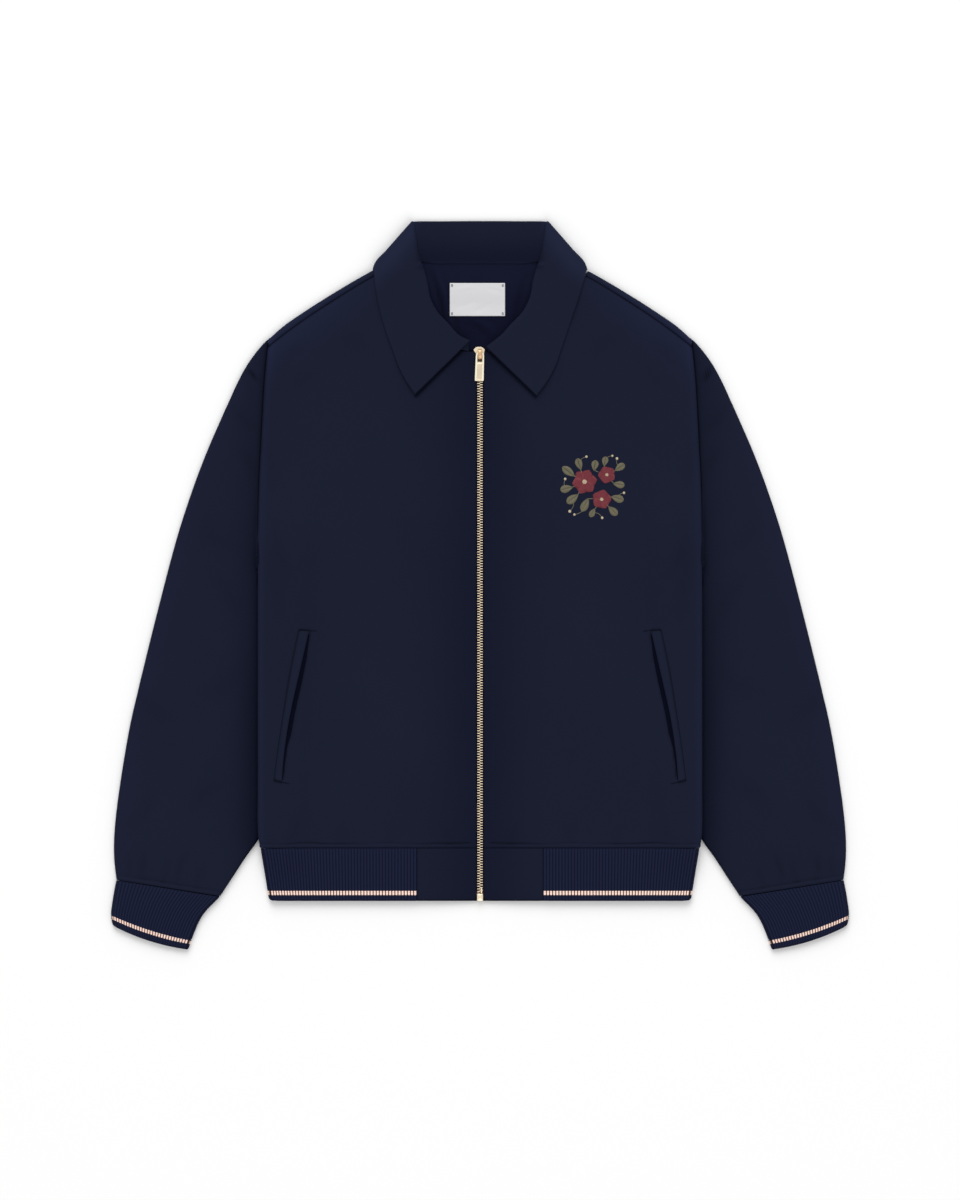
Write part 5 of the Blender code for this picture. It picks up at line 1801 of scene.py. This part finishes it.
def build_slider():
    top = plate(SLIDER_OUTLINE, 1.2, 7.2, 0.5)
    askew = SLIDER_ASKEW * soft_step(249.0, 253.0, top.vertices[:, 1])
    top = top._replace(vertices=top.vertices + np.column_stack([askew, 0 * askew, 0 * askew]))
    foot = [(-2.2, 250.2), (2.2, 250.2), (2.2, 255.4), (-2.2, 255.4)]
    post = solid(foot, [(3.9, 0.2), (4.2, 0.0), (6.4, 0.0), (6.6, 0.1)])
    arch = [(243.6, 6.9), (244.0, 9.4), (245.0, 10.7), (246.6, 11.2), (250.8, 11.2), (252.4, 10.7)]
    arch += [(253.4, 9.4), (253.8, 6.9)]
    fine = refined(np.array(arch)[:, None, :], 0.5)[:, 0, :]
    bridge = swept_bar(fine, 2.15, 0.6)

    def under_pull(points):
        """Hardly any light reaches the slider through the pull tab's window."""
        within = soft_step(3.4, 2.6, np.abs(points[:, 0])) * soft_step(245.5, 244.5, points[:, 1])
        return coloured(within, (-0.9, -0.92, -0.94))

    new_piece(
        "zip_slider_body",
        joined([top, post]),
        [metal_material()],
        replaces=["zip_slider"],
        crisp=40.0,
        tone=under_pull,
    )
    # Painted shade: the bridge under the pull tab is a darker copy of the gold metal.
    gold_in_shade = metal_material("copper tone", (0.74, 0.56, 0.42))
    new_piece("zip_slider_bridge", bridge, [gold_in_shade], crisp=60.0)


PULL_OUTLINE = [
    (-PULL_LENGTH, 4.3), (-PULL_LENGTH + 0.6, 4.85), (-PULL_LENGTH + 3.0, 4.9), (-6.0, 4.65), (-1.0, 4.5),
    (0.3, 4.2), (1.2, 3.6),
]


def pull_tone(points):
    """The tab's rims catch the light, and its recessed middle is duller."""
    x = points[:, 0] - PULL_LEAN * (points[:, 1] - PULL_AXIS[1])
    return coloured(soft_step(2.3, 3.2, np.abs(x)), (0.32, 0.38, 0.48)) * 0.92


def build_pull_tab():
    hole = (2.55, -8.4, -1.2)
    recess = (2.9, -PULL_LENGTH + 1.6, -10.0, 0.32)
    made = plate(PULL_OUTLINE, PULL_WALL, PULL_WALL / 2, 0.45, hole, recess)
    angle = math.radians(PULL_DROP_DEG)
    x, y, z = made.vertices.T
    back = y * math.cos(angle) - z * math.sin(angle)
    rise = y * math.sin(angle) + z * math.cos(angle)
    made = made._replace(vertices=np.stack([x + PULL_LEAN * y, back, rise], axis=1) + np.array(PULL_AXIS))
    new_piece(
        "zip_pull",
        made,
        [metal_material()],
        body="pull_tab",
        replaces=["zip_pull_tab"],
        crisp=40.0,
        tone=pull_tone,
    )


# Thread work.


# A thread's lower edges lie this deep in the cloth, and its ends stand this far over it.
STITCH_SUNK = 0.12
STITCH_CLEAR = 0.03


def stitch(run, height_at, width, height):
    """One raised thread along a run of points on the cloth, closed underneath."""
    points = np.array(run, float)
    ahead = np.gradient(points, axis=0)
    ahead /= np.maximum(np.linalg.norm(ahead, axis=1, keepdims=True), 1e-9)
    aside = np.stack([-ahead[:, 1], ahead[:, 0]], axis=1)
    count = len(points)
    vertices = []
    for i, (x, y) in enumerate(points):
        base = height_at(x, y)
        arch = math.sin(math.pi * (0.12 + 0.76 * i / (count - 1)))
        low = base - STITCH_SUNK
        high = base + height * arch * 0.75 + STITCH_CLEAR
        for across, z in ((-0.5, low), (-0.3, high), (0.3, high), (0.5, low)):
            vertices.append((x + aside[i, 0] * across * width, y + aside[i, 1] * across * width, z))
    last = (count - 1) * 4
    faces = tube_faces(count, 4) + [(0, 1, 2, 3), (last + 3, last + 2, last + 1, last)]
    flat = np.stack([np.tile([0.0, 0.15, 0.3, 0.45], count), np.repeat(np.arange(count) * 0.6, 4)], axis=1)
    return plain_shell(np.array(vertices), np.array(faces), flat)


# The chest spray, about its own middle: petals, leaves and buds, each on its axis.
SPRAY_X = 122.0
SPRAY_Y = 105.0
Flower = namedtuple("Flower", "x y radius petals turn")
FLOWERS = table(
    Flower,
    (-9.0, 6.0, 13.5, 6, 10), (15.0, 13.5, 9.5, 5, 40), (9.5, -13.0, 10.5, 5, 5),
)
Leaf = namedtuple("Leaf", "x y end_x end_y width")
LEAVES = table(
    Leaf,
    (-20.0, 12.0, -33.0, 22.0, 4.2), (-13.0, 19.0, -17.0, 31.0, 3.8),
    (-22.0, 0.0, -35.0, -3.0, 4.2), (-16.0, -8.0, -28.0, -17.0, 4.4), (-5.0, -12.0, -12.0, -26.0, 4.2),
    (2.0, -23.0, -3.0, -32.0, 3.2), (17.0, -21.0, 26.0, -30.0, 4.0), (20.0, -10.0, 33.0, -14.0, 4.2),
    (22.0, 4.0, 34.0, 2.0, 3.8), (24.0, 18.0, 34.0, 25.0, 3.8), (12.0, 23.0, 14.0, 33.0, 3.4),
    (1.0, 18.0, 3.0, 29.0, 3.8),
)
Bud = namedtuple("Bud", "x y radius")
BUDS = table(
    Bud,
    (-25.0, -26.0, 1.7), (-20.0, -29.5, 1.4), (26.0, 31.0, 1.6), (21.0, 34.0, 1.3),
    (-30.0, 9.0, 1.5), (33.5, -6.0, 1.5), (10.0, -33.0, 1.5), (-7.0, 33.0, 1.4),
)


def satin_shape(start, end, width, pitch, slant, height_at, height):
    """Satin stitches side by side over a shape that swells between two points."""
    start = np.array(start, float)
    end = np.array(end, float)
    run = end - start
    length = float(np.hypot(*run))
    run /= length
    aside = np.array([-run[1], run[0]])
    stitches = []
    count = max(4, int(length / pitch))
    for step in range(count):
        share = (step + 0.5) / count
        half = width * math.sin(math.pi * share**0.8) ** 0.75
        middle = start + run * length * share
        jitter = 0.12 * math.sin(step * 2.4)
        if slant:
            for hand in (-1, 1):
                tip = middle + aside * hand * (half + jitter) + run * half * slant
                line = [middle + (tip - middle) * part for part in (0.02, 0.5, 1.0)]
                stitches.append(stitch(line, height_at, pitch * 1.15, height))
        else:
            low = middle - aside * (half + jitter)
            high = middle + aside * (half - jitter)
            line = [low + (high - low) * part for part in (0.0, 0.33, 0.67, 1.0)]
            stitches.append(stitch(line, height_at, pitch * 1.15, height))
    return stitches


def knot(x, y, radius, height_at):
    """A round knot of thread: three turns laid on each other."""
    made = []
    for turn in range(3):
        size = radius * (1.0 - 0.28 * turn)
        run = []
        for step in range(9):
            angle = math.tau * step / 8 + turn
            run.append((x + size * 0.6 * math.cos(angle), y + size * 0.6 * math.sin(angle)))

        def turn_height(u, v, turn=turn):
            return height_at(u, v) + 0.28 * turn

        made.append(stitch(run, turn_height, size * 0.85, 0.5))
    return made


def build_embroidery():
    settings = bpy.context.scene.jacket_thread
    pitch = settings.pitch / MM
    tree = FRONT_TREES[1]

    def height_at(x, y):
        return height_on(tree, x + SPRAY_X, y + SPRAY_Y)

    petals = []
    knots = []
    leaves = []
    for flower in FLOWERS:
        for step in range(flower.petals):
            angle = math.radians(flower.turn) + math.tau * step / flower.petals
            way = np.array([math.cos(angle), math.sin(angle)])
            middle = np.array([flower.x, flower.y])
            width = flower.radius * 0.98 * math.sin(math.pi / flower.petals)

            def petal_height(u, v, lap=0.16 * (step % 2)):
                return height_at(u, v) + lap

            root = middle + way * flower.radius * 0.16
            petals += satin_shape(root, middle + way * flower.radius, width, pitch, 0.0, petal_height, 0.6)
        reach = flower.radius * 0.13
        for step in range(6):
            angle = math.tau * step / 6
            x = flower.x + reach * math.cos(angle)
            knots += knot(x, flower.y + reach * math.sin(angle), flower.radius * 0.09, height_at)
        knots += knot(flower.x, flower.y, flower.radius * 0.10, height_at)
    for leaf in LEAVES:
        root = np.array([leaf.x, leaf.y])
        leaves += satin_shape(root, (leaf.end_x, leaf.end_y), leaf.width, pitch, 0.7, height_at, 0.5)
        nearest = min(FLOWERS, key=lambda flower: math.hypot(flower.x - leaf.x, flower.y - leaf.y))
        start = np.array([nearest.x, nearest.y]) * 0.35 + root * 0.65
        end = root * 1.03
        line = [start + (end - start) * share for share in np.linspace(0, 1, 4)]
        leaves.append(stitch(line, height_at, 0.9, 0.4))
    for bud in BUDS:
        knots += knot(bud.x, bud.y, bud.radius, height_at)
        nearest = min(LEAVES, key=lambda leaf: math.hypot(leaf.end_x - bud.x, leaf.end_y - bud.y))
        start = np.array([nearest.x, nearest.y]) * 0.5 + np.array([nearest.end_x, nearest.end_y]) * 0.5
        run = np.array([bud.x, bud.y]) - start
        bow = np.array([-run[1], run[0]]) * 0.18
        line = [start + run * share + bow * math.sin(math.pi * share) for share in np.linspace(0, 1, 8)]
        leaves.append(stitch(line, height_at, 0.7, 0.35))
    shift = np.array([SPRAY_X, SPRAY_Y, 0.0])
    colours = (settings.burgundy, settings.olive, settings.cream)
    names = ("chest_petals", "chest_leaves", "chest_knots")
    for name, parts, colour in zip(names, (petals, leaves, knots), colours):
        made = joined(parts)
        made = made._replace(vertices=made.vertices + shift)
        new_piece(name, made, [thread_material(name + " thread", colour)])


# Stage.


FLOOR_REACH = 6000.0
FLOOR_WALL = 10.0
SENSOR_HEIGHT = 24.0
# Each light's place in metres, its width in metres and its share of the key light's power.
LIGHTS = (
    ("key light", (-1.2, 11.2, 8.8), 11.0, 1.0),
    ("fill light", (2.4, -9.6, 12.8), 12.0, 0.47),
)


def build_stage():
    settings = bpy.context.scene.jacket_studio
    scene = bpy.context.scene
    steps = np.linspace(-FLOOR_REACH, FLOOR_REACH, 13)
    made = shell(as_grid(laid_rows(steps, steps, lambda x, y: -0.05)), FLOOR_WALL)
    mesh = bpy.data.meshes.new("floor")
    mesh.from_pydata((made.vertices * MM).tolist(), [], made.faces.tolist())
    floor = bpy.data.objects.new("floor", mesh)
    scene.collection.objects.link(floor)
    gloss = {"Specular IOR Level": 0.1}
    material = new_material("pale floor", brushed_group(), {}, settings.floor, (0.02, 0.0001), gloss)
    # The floor has one even tone.
    shader = material.node_tree.nodes["Principled BSDF"]
    for socket, value in (("Base Color", (*settings.floor, 1.0)), ("Roughness", 0.9)):
        material.node_tree.links.remove(shader.inputs[socket].links[0])
        shader.inputs[socket].default_value = value
    mesh.materials.append(material)
    world = bpy.data.worlds.new("room")
    world.use_nodes = True
    background = world.node_tree.nodes["Background"]
    background.inputs["Color"].default_value = (1.0, 1.0, 1.0, 1.0)
    background.inputs["Strength"].default_value = settings.sky
    scene.world = world
    for name, place, width, share in LIGHTS:
        data = bpy.data.lights.new(name, "AREA")
        data.shape = "DISK"
        data.size = width
        data.energy = settings.key * share
        light = bpy.data.objects.new(name, data)
        light.location = place
        light.rotation_euler = (-Vector(place)).to_track_quat("-Z", "Y").to_euler()
        scene.collection.objects.link(light)
    camera_data = bpy.data.cameras.new("camera")
    camera = bpy.data.objects.new("camera", camera_data)
    scene.collection.objects.link(camera)
    # The frame is as high as the photograph, at the height of the cloth.
    frame_height = PHOTO_ROWS * PHOTO_SCALE * MM
    reach = settings.camera_height
    camera_data.sensor_fit = "VERTICAL"
    camera_data.sensor_height = SENSOR_HEIGHT
    camera_data.lens = SENSOR_HEIGHT * reach / frame_height
    camera_data.clip_end = 100.0
    camera.location = (0.0, (PHOTO_ZERO_ROW - PHOTO_ROWS / 2) * PHOTO_SCALE * MM, reach + STACK * MM)
    scene.camera = camera
    scene.view_settings.view_transform = "Standard"
    scene.view_settings.look = "None"


class JACKET_OT_back(bpy.types.Operator):
    """Builds the back panel, with its wrap over the shoulders"""

    bl_idname = "jacket.back"
    bl_label = "Back"

    def execute(self, context):
        build_back()
        return {"FINISHED"}


class JACKET_OT_fronts(bpy.types.Operator):
    """Builds both front panels"""

    bl_idname = "jacket.fronts"
    bl_label = "Fronts"

    def execute(self, context):
        build_fronts()
        return {"FINISHED"}


class JACKET_OT_sleeves(bpy.types.Operator):
    """Builds both sleeves, and the turned-in edges under the seams"""

    bl_idname = "jacket.sleeves"
    bl_label = "Sleeves"

    def execute(self, context):
        build_sleeves()
        build_seams()
        return {"FINISHED"}


class JACKET_OT_collar(bpy.types.Operator):
    """Builds the folded collar"""

    bl_idname = "jacket.collar"
    bl_label = "Collar"

    def execute(self, context):
        build_collar()
        return {"FINISHED"}


class JACKET_OT_neck(bpy.types.Operator):
    """Builds the back neck facing, and the label with its tacks"""

    bl_idname = "jacket.neck"
    bl_label = "Facing and label"

    def execute(self, context):
        build_facing()
        build_label()
        return {"FINISHED"}


class JACKET_OT_hem(bpy.types.Operator):
    """Builds the knitted hem bands and the plain tabs beside the zip"""

    bl_idname = "jacket.hem"
    bl_label = "Hem"

    def execute(self, context):
        build_hem()
        build_hem_tabs()
        return {"FINISHED"}


class JACKET_OT_cuffs(bpy.types.Operator):
    """Builds both knitted cuffs"""

    bl_idname = "jacket.cuffs"
    bl_label = "Cuffs"

    def execute(self, context):
        build_cuffs()
        return {"FINISHED"}


class JACKET_OT_welts(bpy.types.Operator):
    """Builds the pocket welts with their linings and bar stitches"""

    bl_idname = "jacket.welts"
    bl_label = "Pocket welts"

    def execute(self, context):
        build_welts()
        return {"FINISHED"}


class JACKET_OT_zip(bpy.types.Operator):
    """Builds the zip's tapes, teeth, bottom box, slider and pull tab"""

    bl_idname = "jacket.zip"
    bl_label = "Zip"

    def execute(self, context):
        build_tapes()
        build_teeth()
        build_slider()
        build_pull_tab()
        return {"FINISHED"}


class JACKET_OT_embroidery(bpy.types.Operator):
    """Builds the stitched spray of flowers on the chest"""

    bl_idname = "jacket.embroidery"
    bl_label = "Chest embroidery"

    def execute(self, context):
        build_embroidery()
        return {"FINISHED"}


class JACKET_OT_stage(bpy.types.Operator):
    """Builds the floor, the lights and the camera"""

    bl_idname = "jacket.stage"
    bl_label = "Stage"

    def execute(self, context):
        build_stage()
        return {"FINISHED"}


SETTINGS = {
    "jacket_cloth": JacketCloth,
    "jacket_knit": JacketKnit,
    "jacket_zip": JacketZip,
    "jacket_thread": JacketThread,
    "jacket_studio": JacketStudio,
}
OPERATORS = [
    JACKET_OT_back,
    JACKET_OT_fronts,
    JACKET_OT_sleeves,
    JACKET_OT_collar,
    JACKET_OT_neck,
    JACKET_OT_hem,
    JACKET_OT_cuffs,
    JACKET_OT_welts,
    JACKET_OT_zip,
    JACKET_OT_embroidery,
    JACKET_OT_stage,
]


class JACKET_PT_sidebar(bpy.types.Panel):
    """The jacket's settings and pieces"""

    bl_idname = "JACKET_PT_sidebar"
    bl_label = "Laid jacket"
    bl_space_type = "VIEW_3D"
    bl_region_type = "UI"
    bl_category = "Jacket"

    def draw(self, context):
        for name in SETTINGS:
            box = self.layout.box()
            settings = getattr(context.scene, name)
            for prop in settings.bl_rna.properties:
                if prop.identifier not in ("rna_type", "name"):
                    box.prop(settings, prop.identifier)
        for operator in OPERATORS:
            self.layout.operator(operator.bl_idname)


def register():
    for name, group in SETTINGS.items():
        bpy.utils.register_class(group)
        setattr(bpy.types.Scene, name, bpy.props.PointerProperty(type=group))
    for operator in OPERATORS:
        bpy.utils.register_class(operator)
    bpy.utils.register_class(JACKET_PT_sidebar)


def unregister():
    bpy.utils.unregister_class(JACKET_PT_sidebar)
    for operator in reversed(OPERATORS):
        bpy.utils.unregister_class(operator)
    for name, group in SETTINGS.items():
        delattr(bpy.types.Scene, name)
        bpy.utils.unregister_class(group)


def main():
    register()
    for operator in OPERATORS:
        group, name = operator.bl_idname.split(".")
        getattr(getattr(bpy.ops, group), name)()


if __name__ == "__main__":
    main()
